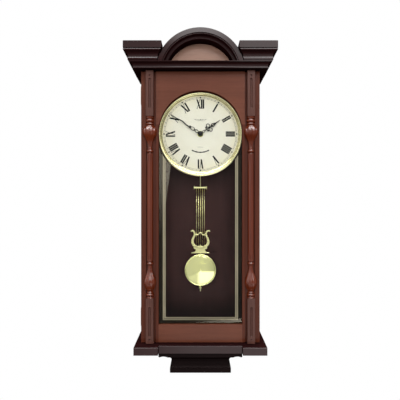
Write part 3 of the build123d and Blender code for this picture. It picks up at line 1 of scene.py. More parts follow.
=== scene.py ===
import bpy
from math import cos, exp, pi, radians, sin, sqrt
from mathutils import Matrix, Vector


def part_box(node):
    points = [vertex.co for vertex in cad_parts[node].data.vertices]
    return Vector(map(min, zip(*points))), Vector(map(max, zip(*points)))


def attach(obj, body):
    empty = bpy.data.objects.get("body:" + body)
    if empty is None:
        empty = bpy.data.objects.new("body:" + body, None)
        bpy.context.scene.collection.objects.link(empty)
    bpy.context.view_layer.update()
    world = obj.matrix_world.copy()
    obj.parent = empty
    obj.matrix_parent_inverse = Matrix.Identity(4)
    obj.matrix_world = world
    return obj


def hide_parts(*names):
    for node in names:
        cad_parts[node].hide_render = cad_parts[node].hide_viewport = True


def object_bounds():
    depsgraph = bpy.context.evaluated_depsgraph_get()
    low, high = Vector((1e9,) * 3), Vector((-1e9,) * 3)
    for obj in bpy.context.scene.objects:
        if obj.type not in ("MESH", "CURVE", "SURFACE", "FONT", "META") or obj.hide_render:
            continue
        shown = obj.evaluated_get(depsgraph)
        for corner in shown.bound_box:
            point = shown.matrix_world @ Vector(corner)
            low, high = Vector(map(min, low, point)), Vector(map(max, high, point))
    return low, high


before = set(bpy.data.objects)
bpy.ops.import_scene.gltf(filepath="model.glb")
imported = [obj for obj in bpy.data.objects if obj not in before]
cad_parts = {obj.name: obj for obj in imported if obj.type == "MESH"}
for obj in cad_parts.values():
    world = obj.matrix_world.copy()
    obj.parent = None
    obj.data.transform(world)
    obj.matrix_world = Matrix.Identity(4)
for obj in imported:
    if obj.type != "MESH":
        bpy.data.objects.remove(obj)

CAD_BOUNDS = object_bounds()
MM = 0.001


# ---------------------------------------------------------------- places, from the frame
def low(node):
    """Lowest corner of a node."""
    return Vector(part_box(node)[0])


def high(node):
    """Highest corner of a node."""
    return Vector(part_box(node)[1])


DIAL_Y = low("dial_plate").y
DIAL_R = high("dial_plate").x
BEZEL_R = high("bezel").x
GLASS_BACK = high("glass_pane").y
DOOR_FRONT = low("door_top_rail").y
RAIL_HALF = high("door_bottom_rail").x
COLUMN_X = 124.5 * MM


# ---------------------------------------------------------------- node helpers
def new_material(name):
    """An empty node material: the material, its tree and its shader."""
    material = bpy.data.materials.new(name)
    material.use_nodes = True
    tree = material.node_tree
    shader = tree.nodes["Principled BSDF"]
    return material, tree, shader


def node(tree, kind, **settings):
    """A shader node with its properties and, for known socket names, its default values."""
    made = tree.nodes.new("ShaderNode" + kind)
    for key, value in settings.items():
        if hasattr(made, key):
            setattr(made, key, value)
        else:
            made.inputs[key.replace("_", " ")].default_value = value
    return made


def link(tree, source, target):
    """Join two sockets."""
    tree.links.new(source, target)


def object_coords(tree, scale):
    """Object coordinates in metres, stretched by a scale per axis."""
    coords = node(tree, "TexCoord")
    mapping = node(tree, "Mapping", Scale=scale)
    link(tree, coords.outputs["Object"], mapping.inputs["Vector"])
    return mapping.outputs["Vector"]


def noise(tree, vector, scale, detail=4.0, rough=0.55, distortion=0.0):
    """Noise on a vector."""
    made = node(tree, "TexNoise", Scale=scale, Detail=detail, Roughness=rough, Distortion=distortion)
    link(tree, vector, made.inputs["Vector"])
    return made.outputs["Fac"]


def ramp(tree, factor, stops):
    """A colour ramp through (position, colour) stops."""
    made = node(tree, "ValToRGB")
    elements = made.color_ramp.elements
    for index, (position, colour) in enumerate(stops):
        element = elements[index] if index < 2 else elements.new(position)
        element.position = position
        element.color = (*colour, 1.0)
    link(tree, factor, made.inputs["Fac"])
    return made.outputs["Color"]


def mix(tree, factor, first, second, mode="MIX"):
    """Mix two colour sockets by a number or a socket."""
    made = node(tree, "MixRGB", blend_type=mode)
    if isinstance(factor, float):
        made.inputs["Fac"].default_value = factor
    else:
        link(tree, factor, made.inputs["Fac"])
    link(tree, first, made.inputs["Color1"])
    link(tree, second, made.inputs["Color2"])
    return made.outputs["Color"]


def remap(tree, value, low_out, high_out, low_in=0.0, high_in=1.0):
    """Map a value from one range to another."""
    made = node(tree, "MapRange", From_Min=low_in, From_Max=high_in, To_Min=low_out, To_Max=high_out)
    link(tree, value, made.inputs["Value"])
    return made.outputs["Result"]


def bump(tree, shader, height, distance, strength=1.0, edge=0.0):
    """Bump a shader by a height socket; edge eases sharp edges by that radius."""
    made = node(tree, "Bump", Distance=distance, Strength=strength)
    link(tree, height, made.inputs["Height"])
    if edge:
        eased = node(tree, "Bevel", samples=6, Radius=edge)
        link(tree, eased.outputs["Normal"], made.inputs["Normal"])
    link(tree, made.outputs["Normal"], shader.inputs["Normal"])


def math_node(tree, operation, first, second):
    """A sum, product or other operation on two values, each a socket or a number."""
    made = node(tree, "Math", operation=operation)
    for socket, value in zip(made.inputs, (first, second)):
        if isinstance(value, (int, float)):
            socket.default_value = value
        else:
            link(tree, value, socket)
    return made.outputs["Value"]


def times(tree, first, second):
    """The product of two values."""
    return math_node(tree, "MULTIPLY", first, second)


def plus(tree, first, second):
    """The sum of two values."""
    return math_node(tree, "ADD", first, second)


def minus(tree, first, second):
    """The first value less the second."""
    return math_node(tree, "SUBTRACT", first, second)


def soft_step(tree, value, edge, width):
    """0 below an edge and 1 above it, with a soft change across a width."""
    made = node(tree, "MapRange", interpolation_type="SMOOTHSTEP", From_Min=edge - width / 2,
                From_Max=edge + width / 2)
    link(tree, value, made.inputs["Value"])
    return made.outputs["Result"]


# ---------------------------------------------------------------- materials
def lacquered_wood(name, dark, mid, light, grain="Z", gloss=0.34, coat=0.1, polish=0.08, edge=0.0006,
                   painted_shade_heights=None, shine=0.10, recess_shade_width=None):
    """Lacquered hardwood: broad figure, fine streaks, closed pores, cloudy depth and a clear coat.

    The coat fades at glancing angles and on unpolished undersides. The two shade heights darken the colour
    towards the foot as painted shade; the recess width is that of the mouldings and carving, whose hollows
    are darkened as painted shade.
    """
    material, tree, shader = new_material(name)
    along = {"X": (1.6, 24.0, 24.0), "Y": (24.0, 1.6, 24.0), "Z": (24.0, 24.0, 1.6)}[grain]
    vector = object_coords(tree, along)
    figure = noise(tree, vector, 1.0, 4.0, 0.55, 1.4)
    streak = noise(tree, vector, 7.0, 4.0, 0.6, 0.3)
    pores = noise(tree, vector, 26.0, 2.0, 0.7)
    blotch = noise(tree, object_coords(tree, (7.0, 7.0, 7.0)), 1.0, 3.0)
    blend = mix(tree, 0.35, figure, streak)
    colour = ramp(tree, blend, ((0.12, dark), (0.50, mid), (0.88, light)))
    pore_shade = ramp(tree, pores, ((0.34, (0.62, 0.58, 0.56)), (0.45, (1.0, 1.0, 1.0))))
    colour = mix(tree, 0.3, colour, pore_shade, "MULTIPLY")
    cloud = ramp(tree, blotch, ((0.3, (0.86, 0.84, 0.84)), (0.7, (1.08, 1.06, 1.05))))
    colour = mix(tree, 0.8, colour, cloud, "MULTIPLY")
    # Painted shade: the colour darkens towards the foot, between the two given heights.
    if painted_shade_heights:
        split = node(tree, "SeparateXYZ")
        link(tree, object_coords(tree, (1.0,) * 3), split.inputs["Vector"])
        height = remap(tree, split.outputs["Z"], 0.0, 1.0, *painted_shade_heights)
        shadow = ramp(tree, height, ((0.0, (0.30,) * 3), (1.0, (1.0,) * 3)))
        colour = mix(tree, 1.0, colour, shadow, "MULTIPLY")
    # Painted shade: ambient occlusion darkens the colour in hollows, coves and carving.
    if recess_shade_width:
        hollow = node(tree, "AmbientOcclusion", samples=8, Distance=recess_shade_width)
        painted_recess_shade = ramp(tree, hollow.outputs["AO"], ((0.30, (0.28, 0.24, 0.24)), (0.85, (1.0, 1.0, 1.0))))
        colour = mix(tree, 1.0, colour, painted_recess_shade, "MULTIPLY")
    link(tree, colour, shader.inputs["Base Color"])
    link(tree, remap(tree, streak, gloss, gloss + 0.14, 0.3, 0.7), shader.inputs["Roughness"])
    link(tree, remap(tree, blotch, polish, polish + 0.06, 0.3, 0.7), shader.inputs["Coat Roughness"])
    facing = node(tree, "LayerWeight", Blend=0.5)
    normal = node(tree, "SeparateXYZ")
    link(tree, node(tree, "NewGeometry").outputs["Normal"], normal.inputs["Vector"])
    polished = remap(tree, normal.outputs["Z"], 0.1, 1.0, -0.45, -0.10)
    for socket, most in (("Coat Weight", coat), ("Specular IOR Level", shine)):
        seen = remap(tree, facing.outputs["Facing"], most, 0.0, 0.25, 0.60)
        link(tree, times(tree, seen, polished), shader.inputs[socket])
    bump(tree, shader, streak, 0.00003, 0.4, edge)
    return material


def metal(name, colour, roughness, brush="none", tarnish=0.1, edge=0.0):
    """Plated or solid metal with faint tool marks and slight tarnish."""
    material, tree, shader = new_material(name)
    scales = {"none": (25.0,) * 3, "x": (12.0, 900.0, 900.0), "z": (900.0, 900.0, 12.0)}
    marks = noise(tree, object_coords(tree, scales[brush]), 1.0, 1.0, 0.6)
    patches = noise(tree, object_coords(tree, (35.0,) * 3), 1.0, 4.0, 0.6)
    dull = tuple(channel * (1 - 1.6 * tarnish) for channel in colour)
    shade = ramp(tree, patches, ((0.38, dull), (0.62, colour)))
    link(tree, shade, shader.inputs["Base Color"])
    shader.inputs["Metallic"].default_value = 1.0
    link(tree, remap(tree, patches, roughness, roughness + 0.08, 0.35, 0.75), shader.inputs["Roughness"])
    bump(tree, shader, marks, 0.00002, 0.15, edge)
    return material


def plastic(name, colour, roughness, edge=0.0004, grain=420.0, coat=0.0, shine=0.5):
    """Moulded plastic or paint with a fine skin texture and slight tone changes."""
    material, tree, shader = new_material(name)
    skin = noise(tree, object_coords(tree, (grain,) * 3), 1.0, 2.0)
    tone = noise(tree, object_coords(tree, (14.0,) * 3), 1.0, 3.0)
    deep = tuple(channel * 0.86 for channel in colour)
    link(tree, ramp(tree, tone, ((0.35, deep), (0.65, colour))), shader.inputs["Base Color"])
    link(tree, remap(tree, skin, roughness - 0.05, roughness + 0.08, 0.3, 0.7), shader.inputs["Roughness"])
    shader.inputs["Coat Weight"].default_value = coat
    shader.inputs["Coat Roughness"].default_value = 0.05
    shader.inputs["Specular IOR Level"].default_value = shine
    bump(tree, shader, skin, 0.00001, 0.3, edge)
    return material


def dial_enamel():
    """Cream dial paint: warm mottling, a little darker towards the rim, under a soft sheen."""
    material, tree, shader = new_material("dial_enamel")
    length = node(tree, "VectorMath", operation="LENGTH")
    link(tree, object_coords(tree, (1.0, 0.0, 1.0)), length.inputs[0])
    radial = ramp(tree, remap(tree, length.outputs["Value"], 0.0, 1.0, 0.0, DIAL_R),
                  ((0.0, (0.86, 0.84, 0.73)), (0.72, (0.86, 0.83, 0.70)), (1.0, (0.86, 0.81, 0.62))))
    mottle = noise(tree, object_coords(tree, (60.0,) * 3), 1.0, 5.0)
    paper = noise(tree, object_coords(tree, (1500.0,) * 3), 1.0, 2.0)
    tint = ramp(tree, mottle, ((0.3, (0.95, 0.94, 0.91)), (0.7, (1.0, 1.0, 1.0))))
    link(tree, mix(tree, 0.8, radial, tint, "MULTIPLY"), shader.inputs["Base Color"])
    shader.inputs["Roughness"].default_value = 0.42
    bump(tree, shader, paper, 0.00001, 0.3)
    return material


def window_glass():
    """A thin clear pane: see-through, with a mirror reflection that grows at glancing angles."""
    material, tree, shader = new_material("window_glass")
    clear = node(tree, "BsdfTransparent", Color=(0.985, 0.99, 0.985, 1.0))
    mirror = node(tree, "BsdfGlossy", Roughness=0.0)
    smear = noise(tree, object_coords(tree, (14.0, 14.0, 3.0)), 1.0, 3.0)
    facing = node(tree, "Fresnel", IOR=1.55)
    blend = node(tree, "MixShader")
    share = times(tree, facing.outputs["Fac"], remap(tree, smear, 0.70, 0.85, 0.35, 0.65))
    link(tree, share, blend.inputs["Fac"])
    link(tree, clear.outputs["BSDF"], blend.inputs[1])
    link(tree, mirror.outputs["BSDF"], blend.inputs[2])
    tree.nodes.remove(shader)
    link(tree, blend.outputs["Shader"], tree.nodes["Material Output"].inputs["Surface"])
    return material


CHERRY = ((0.066, 0.020, 0.010), (0.100, 0.031, 0.017), (0.134, 0.045, 0.026))
DEEP_CHERRY = ((0.040, 0.009, 0.004), (0.064, 0.015, 0.007), (0.092, 0.025, 0.012))
RED_CHERRY = ((0.060, 0.009, 0.003), (0.100, 0.017, 0.005), (0.146, 0.028, 0.008))
BROWN_CHERRY = ((0.046, 0.018, 0.013), (0.068, 0.028, 0.021), (0.094, 0.041, 0.032))
DARK_CHERRY = ((0.011, 0.003, 0.003), (0.019, 0.0055, 0.0055), (0.030, 0.010, 0.010))
# Near-black cherry: painted shade, for the corbel that faces down into shadow.
CHERRY_IN_PAINTED_SHADE = ((0.003, 0.0015, 0.0015), (0.005, 0.0025, 0.0025), (0.009, 0.005, 0.005))
PALE_CHERRY = ((0.19, 0.105, 0.074), (0.27, 0.158, 0.115), (0.35, 0.218, 0.165))
MAROON = ((0.036, 0.012, 0.011), (0.052, 0.019, 0.017), (0.070, 0.027, 0.025))
MATERIALS = {
    "door_upright": lacquered_wood("door_upright", *DEEP_CHERRY, "Z"),
    "door_rail": lacquered_wood("door_rail", *CHERRY, "X", coat=0.15),
    # Columns, blocks and crown darken in their hollows as painted shade.
    "column": lacquered_wood("column_wood", *RED_CHERRY, coat=0.8, polish=0.01, shine=0.03, recess_shade_width=0.008),
    "block": lacquered_wood("column_block", *BROWN_CHERRY, "Z", coat=0.15, recess_shade_width=0.004),
    "case_side": lacquered_wood("case_side", *DEEP_CHERRY, "Z"),
    "crown": lacquered_wood("crown_wood", *DARK_CHERRY, "X", coat=0.45, polish=0.04, shine=0.0, recess_shade_width=0.03),
    "base": lacquered_wood("base_wood", *DARK_CHERRY, "X", coat=0.50, polish=0.14, shine=0.0),
    # The corbel's near-black colour is painted shade.
    "corbel": lacquered_wood("corbel_wood", *CHERRY_IN_PAINTED_SHADE, "X", coat=0.0, shine=0.03),
    "panel": lacquered_wood("arch_panel", *PALE_CHERRY, "X", coat=0.3, polish=0.16),
    # The back panel's colour darkens towards its foot: painted shade.
    "back": lacquered_wood("back_wood", *MAROON, "Z", 0.45, 0.05, painted_shade_heights=(-0.47, -0.40)),
    "brass": metal("polished_brass", (0.88, 0.87, 0.42), 0.05, "none", 0.02),
    "bezel_brass": metal("bezel_brass", (0.92, 0.85, 0.50), 0.20, "none", 0.03),
    "satin_brass": metal("satin_brass", (0.84, 0.80, 0.40), 0.26, "none", 0.04),
    "hinge_brass": metal("hinge_bronze", (0.20, 0.11, 0.06), 0.34, "z", 0.14, 0.0002),
    "steel": metal("zinc_steel", (0.60, 0.61, 0.63), 0.30, "x", 0.08, 0.0002),
    "black_paint": plastic("hand_paint", (0.006, 0.006, 0.006), 0.34, 0.0, shine=0.25),
    "ink": plastic("dial_ink", (0.006, 0.006, 0.006), 0.5, 0.0, shine=0.15),
    "shell": plastic("movement_plastic", (0.030, 0.031, 0.034), 0.48),
    "acetal": plastic("acetal", (0.72, 0.71, 0.66), 0.38),
    "board": plastic("solder_mask", (0.018, 0.17, 0.075), 0.30, 0.0002, 260.0, 0.3),
    "jacket": plastic("battery_jacket", (0.055, 0.06, 0.075), 0.28, 0.0005, 300.0, 0.6),
    "wire": plastic("wire_sleeve", (0.42, 0.025, 0.02), 0.4, 0.0),
    # This black ink also draws a painted shadow line inside the gold.
    "margin": plastic("black_margin", (0.016, 0.011, 0.006), 0.5, 0.0, 60.0, shine=0.1),
    "gold_ink": plastic("gold_ink", (0.40, 0.35, 0.235), 0.45, 0.0, 60.0, shine=0.3),
    "dial": dial_enamel(),
    "glass": window_glass(),
}

NODE_MATERIALS = {
    "case_side": ("side_panels",),
    "crown": ("cornice", "crown_caps", "arch_moulding", "top_board"),
    "base": ("base_blocks",),
    "panel": ("arch_tympanum",),
    "corbel": ("corbel",),
    "back": ("back_panel", "dial_board", "dial_cleats"),
    "door_upright": ("door_stiles", "glass_retainers"),
    "block": ("column_blocks",),
    "door_rail": ("door_top_rail", "door_bottom_rail"),
    "glass": ("glass_pane",),
    "dial": ("dial_plate",),
    "brass": ("dial_nut",),
    "satin_brass": ("pendulum_rod", "rating_screw", "rating_nut"),
    "hinge_brass": ("hinge_case_leaves", "hinge_pins", "hinge_door_leaves"),
    "steel": ("hanger_plate", "case_screws", "door_screws", "strike_plate", "battery_contacts",
              "minute_arbor"),
    "black_paint": ("hand_nut",),
    "shell": ("access_cover", "magnetic_catch", "movement_front_shell", "movement_rear_cover",
              "stepper_motor", "set_knob", "pendulum_bracket", "speaker"),
    "acetal": ("train_plate", "hour_wheel", "centre_wheel", "minute_wheel", "third_wheel", "chime_slider",
               "volume_slider", "pendulum_arm"),
    "board": ("circuit_board",),
    "jacket": ("battery",),
    "wire": ("speaker_wires",),
}


def dress_frame():
    """Give every CAD node that stays its material."""
    for key, names in NODE_MATERIALS.items():
        for name in names:
            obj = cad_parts[name]
            obj.data.materials.clear()
            obj.data.materials.append(MATERIALS[key])


# ---------------------------------------------------------------- mesh helpers
def add_mesh(name, verts, faces, material, body, smooth=True):
    """A mesh piece, placed in frame coordinates and riding on a body."""
    mesh = bpy.data.meshes.new(name)
    mesh.from_pydata([tuple(v) for v in verts], [], faces)
    mesh.validate()
    mesh.update()
    mesh.materials.append(MATERIALS[material])
    if smooth:
        mesh.shade_smooth()
    return add_object(name, mesh, body)


def add_object(name, data, body=None):
    """An object in the scene; a piece rides on a body."""
    obj = bpy.data.objects.new(name, data)
    bpy.context.scene.collection.objects.link(obj)
    if body:
        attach(obj, body)
    return obj


def grid_faces(rows, columns, wrap=False, start=0):
    """Quads over a grid of vertices laid out row by row."""
    faces = []
    for i in range(rows - 1):
        for j in range(columns if wrap else columns - 1):
            k = (j + 1) % columns
            a = start + i * columns
            b = a + columns
            faces.append((a + j, a + k, b + k, b + j))
    return faces


def turning(profile, steps, centre_z=0.0):
    """Corners and sides of a turning about a fore-and-aft line; the profile is (radius, y) in metres."""
    verts = []
    for radius, y in profile:
        for j in range(steps):
            a = 2 * pi * j / steps
            verts.append((radius * sin(a), y, centre_z + radius * cos(a)))
    return verts, grid_faces(len(profile), steps, True)


def end_caps(rows, steps, start=0):
    """The flat faces that close the first and the last ring of a turning."""
    last = start + (rows - 1) * steps
    return [tuple(range(start, start + steps)), tuple(reversed(range(last, last + steps)))]


def prism(verts, faces, outline, y0, y1):
    """Add a flat-topped prism over an (x, z) outline, given either way round, between two depths."""
    count = len(outline)
    base = len(verts)
    area = sum(outline[i - 1][0] * outline[i][1] - outline[i][0] * outline[i - 1][1] for i in range(count))
    ring = list(outline) if area > 0 else list(reversed(outline))
    verts.extend((x, y0, z) for x, z in ring)
    verts.extend((x, y1, z) for x, z in ring)
    faces.append(tuple(range(base, base + count)))
    faces.append(tuple(reversed(range(base + count, base + 2 * count))))
    for i in range(count):
        j = (i + 1) % count
        faces.append((base + i, base + count + i, base + count + j, base + j))


def smooth_run(points, steps=8, closed=False):
    """Points on a Catmull-Rom curve through the given points."""
    count = len(points)
    result = []
    for i in range(count if closed else count - 1):
        if closed:
            p = [points[(i + k) % count] for k in (-1, 0, 1, 2)]
        else:
            p = [points[min(max(i + k, 0), count - 1)] for k in (-1, 0, 1, 2)]
        for step in range(steps):
            t = step / steps
            weights = (-t + 2 * t ** 2 - t ** 3, 2 - 5 * t ** 2 + 3 * t ** 3,
                       t + 4 * t ** 2 - 3 * t ** 3, t ** 3 - t ** 2)
            result.append(tuple(sum(w * q[axis] for w, q in zip(weights, p)) / 2 for axis in (0, 1)))
    if not closed:
        result.append(tuple(points[-1]))
    return result


def plate(name, loops, y_front, y_back, material, body, edge=0.0, turn=0.0):
    """A plate with holes: (x, z) loops in metres, eased by a bevel, turned clockwise by degrees."""
    curve = bpy.data.curves.new(name, "CURVE")
    curve.dimensions = "2D"
    curve.fill_mode = "BOTH"
    curve.extrude = abs(y_back - y_front) / 2 - edge
    curve.bevel_depth = edge
    curve.bevel_resolution = 2
    curve.offset = -edge
    for loop in loops:
        spline = curve.splines.new("POLY")
        spline.points.add(len(loop) - 1)
        spline.use_cyclic_u = True
        for point, (x, z) in zip(spline.points, turned(loop, turn)):
            point.co = (x, z, 0.0, 1.0)
    holder = add_object(name, curve)
    mesh = bpy.data.meshes.new_from_object(holder.evaluated_get(bpy.context.evaluated_depsgraph_get()))
    bpy.data.objects.remove(holder)
    middle = (y_front + y_back) / 2
    for vertex in mesh.vertices:
        x, up, out = vertex.co
        vertex.co = (x, middle - out, up)
    mesh.name = name
    mesh.materials.clear()
    mesh.materials.append(MATERIALS[material])
    return add_object(name, mesh, body)


def ring_loop(x, z, rx, rz, count=28, turn=0.0):
    """An ellipse as a loop, tipped anticlockwise by radians."""
    result = []
    for i in range(count):
        a = 2 * pi * i / count
        px, pz = rx * cos(a), rz * sin(a)
        result.append((x + px * cos(turn) - pz * sin(turn), z + px * sin(turn) + pz * cos(turn)))
    return result


def turned(points, angle):
    """Turn (x, z) points clockwise by an angle in degrees."""
    c, s = cos(radians(angle)), sin(radians(angle))
    return [(x * c + z * s, -x * s + z * c) for x, z in points]


def mm_loop(points):
    """A loop given in millimetres."""
    return [(x * MM, z * MM) for x, z in points]


def mirror_loop(points):
    """A right-hand run of points closed by its mirror image."""
    return list(points) + [(-x, z) for x, z in reversed(points)]


def join(name, objects):
    """Join pieces of one material into one object."""
    with bpy.context.temp_override(active_object=objects[0], selected_editable_objects=objects):
        bpy.ops.object.join()
    objects[0].name = name
    return objects[0]


# ---------------------------------------------------------------- columns
# Height, half height, core radius and standing-out of each bead on a column, in millimetres.
BEADS = ((-400, 3.0, 7.6, 2.2), (-394.4, 2.2, 6.2, 1.8), (-323.6, 3.4, 5.2, 3.0), (-46.6, 3.4, 5.2, 3.0),
         (20.2, 2.4, 8.2, 1.8), (28.2, 3.6, 8.0, 2.2))
# Root, tip, count, shift and depth of each ring of carved leaves.
LEAVES = ((-36.0, 8.0, 7, 0.0, 1.9), (-30.0, 15.0, 7, 0.5, 1.3),
          (-334.0, -374.0, 7, 0.0, 1.5), (-338.0, -386.0, 7, 0.5, 1.0))
# End and start of the reeding at the top and the foot of the shaft.
REEDING = ((-53.0, -74.0), (-315.0, -296.0))
FLUTE_ANGLE, FLUTE_WIDTH, FLUTE_DEPTH = 0.42, 0.13, 0.8


def column_radius(z):
    """Plain radius of the turned column at a height, in millimetres."""
    for centre, half, core, proud in BEADS:
        share = (z - centre) / half
        if abs(share) <= 1:
            return core + proud * sqrt(1 - share ** 2)
    if z < -404:
        return 9.3
    if z > 34.3:
        return 9.4
    if -391.9 <= z <= -328.9:
        return bulb_radius(z, -391.9, -369.6, -328.9, 6.0, 14.2, 5.4)
    if -38.3 <= z <= 17.6:
        return bulb_radius(z, 17.6, 1.0, -38.3, 8.4, 16.2, 4.8)
    if -318.0 <= z <= -52.0:
        return 7.0
    return 7.2 if z > 17.6 else 5.2


def bulb_radius(z, near_end, widest, far_end, near_radius, top_radius, far_radius):
    """A pear-shaped swelling: short and full on one side of its widest place, long on the other."""
    if (z - widest) * (near_end - widest) > 0:
        share = (z - widest) / (near_end - widest)
        return near_radius + (top_radius - near_radius) * cos(share * pi / 2) ** 0.9
    share = (z - widest) / (far_end - widest)
    return far_radius + (top_radius - far_radius) * (0.5 + 0.5 * cos(share * pi)) ** 1.7


def carving(z, angle):
    """Carved relief at a height and an angle: leaves on the bulbs, reeding and flutes on the shaft."""
    relief = 0.0
    for root, tip, leaves, shift, depth in LEAVES:
        along = (z - root) / (tip - root)
        if not 0.0 < along < 1.0:
            continue
        pitch = 2 * pi / leaves
        across = ((angle / pitch + shift + 0.5) % 1.0 - 0.5) * 2
        width = 0.92 * (1 - along ** 3.0) ** 0.5
        if abs(across) < width:
            share = across / width
            body = (1 - share ** 2) ** 0.6
            rib = 0.35 * exp(-(share / 0.16) ** 2)
            relief = max(relief, depth * (body * (0.35 + 0.65 * sin(along * pi * 0.62)) + rib - 0.30))
        else:
            relief = max(relief, -0.35 * depth) if relief > 0 else -0.45 * depth
    for end, start in REEDING:
        along = (z - start) / (end - start)
        if 0.0 < along < 1.0:
            relief -= 0.75 * along ** 0.5 * (0.5 + 0.5 * cos(angle * 14)) ** 2
    if -312.0 < z < -58.0:
        relief -= FLUTE_DEPTH * exp(-((abs(angle) - FLUTE_ANGLE) / FLUTE_WIDTH) ** 2)
    return relief


def column_heights():
    """Heights of a column's rings, in millimetres: close together where it is carved or beaded."""
    top = high("columns").z / MM
    heights = []
    z = low("columns").z / MM
    while z < top:
        heights.append(z)
        carved = -392 < z < -296 or -80 < z < 36 or z < -392
        z += 0.55 if carved else 8.0
    return heights + [top]


def column(name, centre_x):
    """A split column: the front half of a carved turning, closed behind by a flat back."""
    heights = column_heights()
    rows, columns = len(heights), 73
    verts = []
    for z in heights:
        radius = column_radius(z)
        for j in range(columns):
            angle = -pi / 2 + pi * j / (columns - 1)
            r = (radius + carving(z, angle)) * MM
            verts.append((centre_x + r * sin(angle), DOOR_FRONT - r * cos(angle), z * MM))
    faces = grid_faces(rows, columns)
    for i in range(rows - 1):
        left, above = i * columns, (i + 1) * columns
        faces.append((left, above, above + columns - 1, left + columns - 1))
    faces += end_caps(rows, columns)
    obj = add_mesh(name, verts, faces, "column", "door")
    flat_from = len(faces) - rows - 1
    for polygon in obj.data.polygons:
        behind = abs(polygon.normal.y) > 0.999 and polygon.index >= flat_from
        if behind or len(polygon.vertices) > 4:
            polygon.use_smooth = False
    return obj


def build_columns():
    """Both columns, in place of the plain turnings, with the tongues that sit in the channels."""
    pieces = [column("column_right", COLUMN_X), column("column_left", -COLUMN_X)]
    verts, faces = [], []
    tongue = 5 * MM
    z0, z1 = low("columns").z, high("columns").z
    for side in (-COLUMN_X, COLUMN_X):
        outline = [(side - tongue, z0), (side + tongue, z0), (side + tongue, z1), (side - tongue, z1)]
        prism(verts, faces, outline, DOOR_FRONT, high("columns").y)
    pieces.append(add_mesh("column_tongues", verts, faces, "column", "door", False))
    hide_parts("columns")


# ---------------------------------------------------------------- dial printing
# Sizes in millimetres; the numerals stand between two circles, inside the minute track.
NUMERALS = ("XII", "I", "II", "III", "IIII", "V", "VI", "VII", "VIII", "IX", "X", "XI")
NUMERAL_FOOT = 64.0
NUMERAL_HEAD = 87.5
THICK = 3.9
THIN = 1.3
ADVANCE = {"I": 4.6, "V": 9.8, "X": 10.6}
TRACK_OUT = 92.6
TRACK_IN = 89.9


def slanted(x0, z0, x1, z1, width):
    """A stroke whose ends are level, as a four-cornered outline; the width is measured level."""
    half = width / 2
    return [(x0 - half, z0), (x0 + half, z0), (x1 + half, z1), (x1 - half, z1)]


def serif(x, z, half, inward):
    """A bracketed serif: a thin bar that swells where it meets its stroke."""
    bar = 0.55 * inward
    swell = 1.5 * inward
    return [(x - half, z), (x - half, z + bar), (x - half * 0.55, z + bar), (x - half * 0.3, z + swell),
            (x + half * 0.3, z + swell), (x + half * 0.55, z + bar), (x + half, z + bar), (x + half, z)]


def letter_outlines(letter, x):
    """The strokes and serifs of one letter whose middle is at x."""
    foot, head = NUMERAL_FOOT, NUMERAL_HEAD
    half = ADVANCE[letter] / 2 - 1.5
    if letter == "I":
        return [slanted(x, foot, x, head, THICK), serif(x, foot, 2.1, 1), serif(x, head, 2.1, -1)]
    if letter == "V":
        return [slanted(x + 0.3, foot, x - half, head, THICK), slanted(x + 0.1, foot, x + half, head, THIN),
                serif(x - half, head, 2.1, -1), serif(x + half, head, 1.7, -1)]
    strokes = [slanted(x + half, foot, x - half, head, THICK), slanted(x - half, foot, x + half, head, THIN)]
    ends = [serif(x + half, foot, 2.1, 1), serif(x - half, foot, 1.7, 1)]
    return strokes + ends + [serif(x - half, head, 2.1, -1), serif(x + half, head, 1.7, -1)]


def arc_band(inner, outer, start, end, steps):
    """Four-cornered outlines along a circular band, with angles clockwise from twelve."""
    bands = []
    for i in range(steps):
        a = radians(start + (end - start) * i / steps)
        b = radians(start + (end - start) * (i + 1) / steps)
        bands.append([(inner * sin(a), inner * cos(a)), (outer * sin(a), outer * cos(a)),
                      (outer * sin(b), outer * cos(b)), (inner * sin(b), inner * cos(b))])
    return bands


def annulus(verts, faces, inner, outer, y0, y1, steps=180):
    """A closed flat ring."""
    base = len(verts)
    for i in range(steps):
        a = 2 * pi * i / steps
        for radius, y in ((inner, y0), (outer, y0), (outer, y1), (inner, y1)):
            verts.append((radius * sin(a), y, radius * cos(a)))
    for i in range(steps):
        p = base + 4 * i
        q = base + 4 * ((i + 1) % steps)
        for k in range(4):
            n = (k + 1) % 4
            faces.append((p + k, q + k, q + n, p + n))


def numeral_outlines():
    """All twelve numerals, each standing on the circle with its foot to the middle."""
    outlines = []
    for index, word in enumerate(NUMERALS):
        x = -sum(ADVANCE[letter] for letter in word) / 2
        for letter in word:
            middle = x + ADVANCE[letter] / 2
            outlines += [turned(shape, 30 * index) for shape in letter_outlines(letter, middle)]
            x += ADVANCE[letter]
    return outlines


def track_outlines():
    """The sixty bars and twelve dots of the minute track."""
    outlines = []
    for minute in range(60):
        bar = [(-0.4, TRACK_IN), (0.4, TRACK_IN), (0.4, TRACK_OUT), (-0.4, TRACK_OUT)]
        outlines.append(turned(bar, 6 * minute))
    for hour in range(12):
        dot = [(x, z + 92.0) for x, z in ring_loop(0, 0, 1.8, 1.8, 20)]
        outlines.append(turned(dot, 30 * hour))
    return outlines


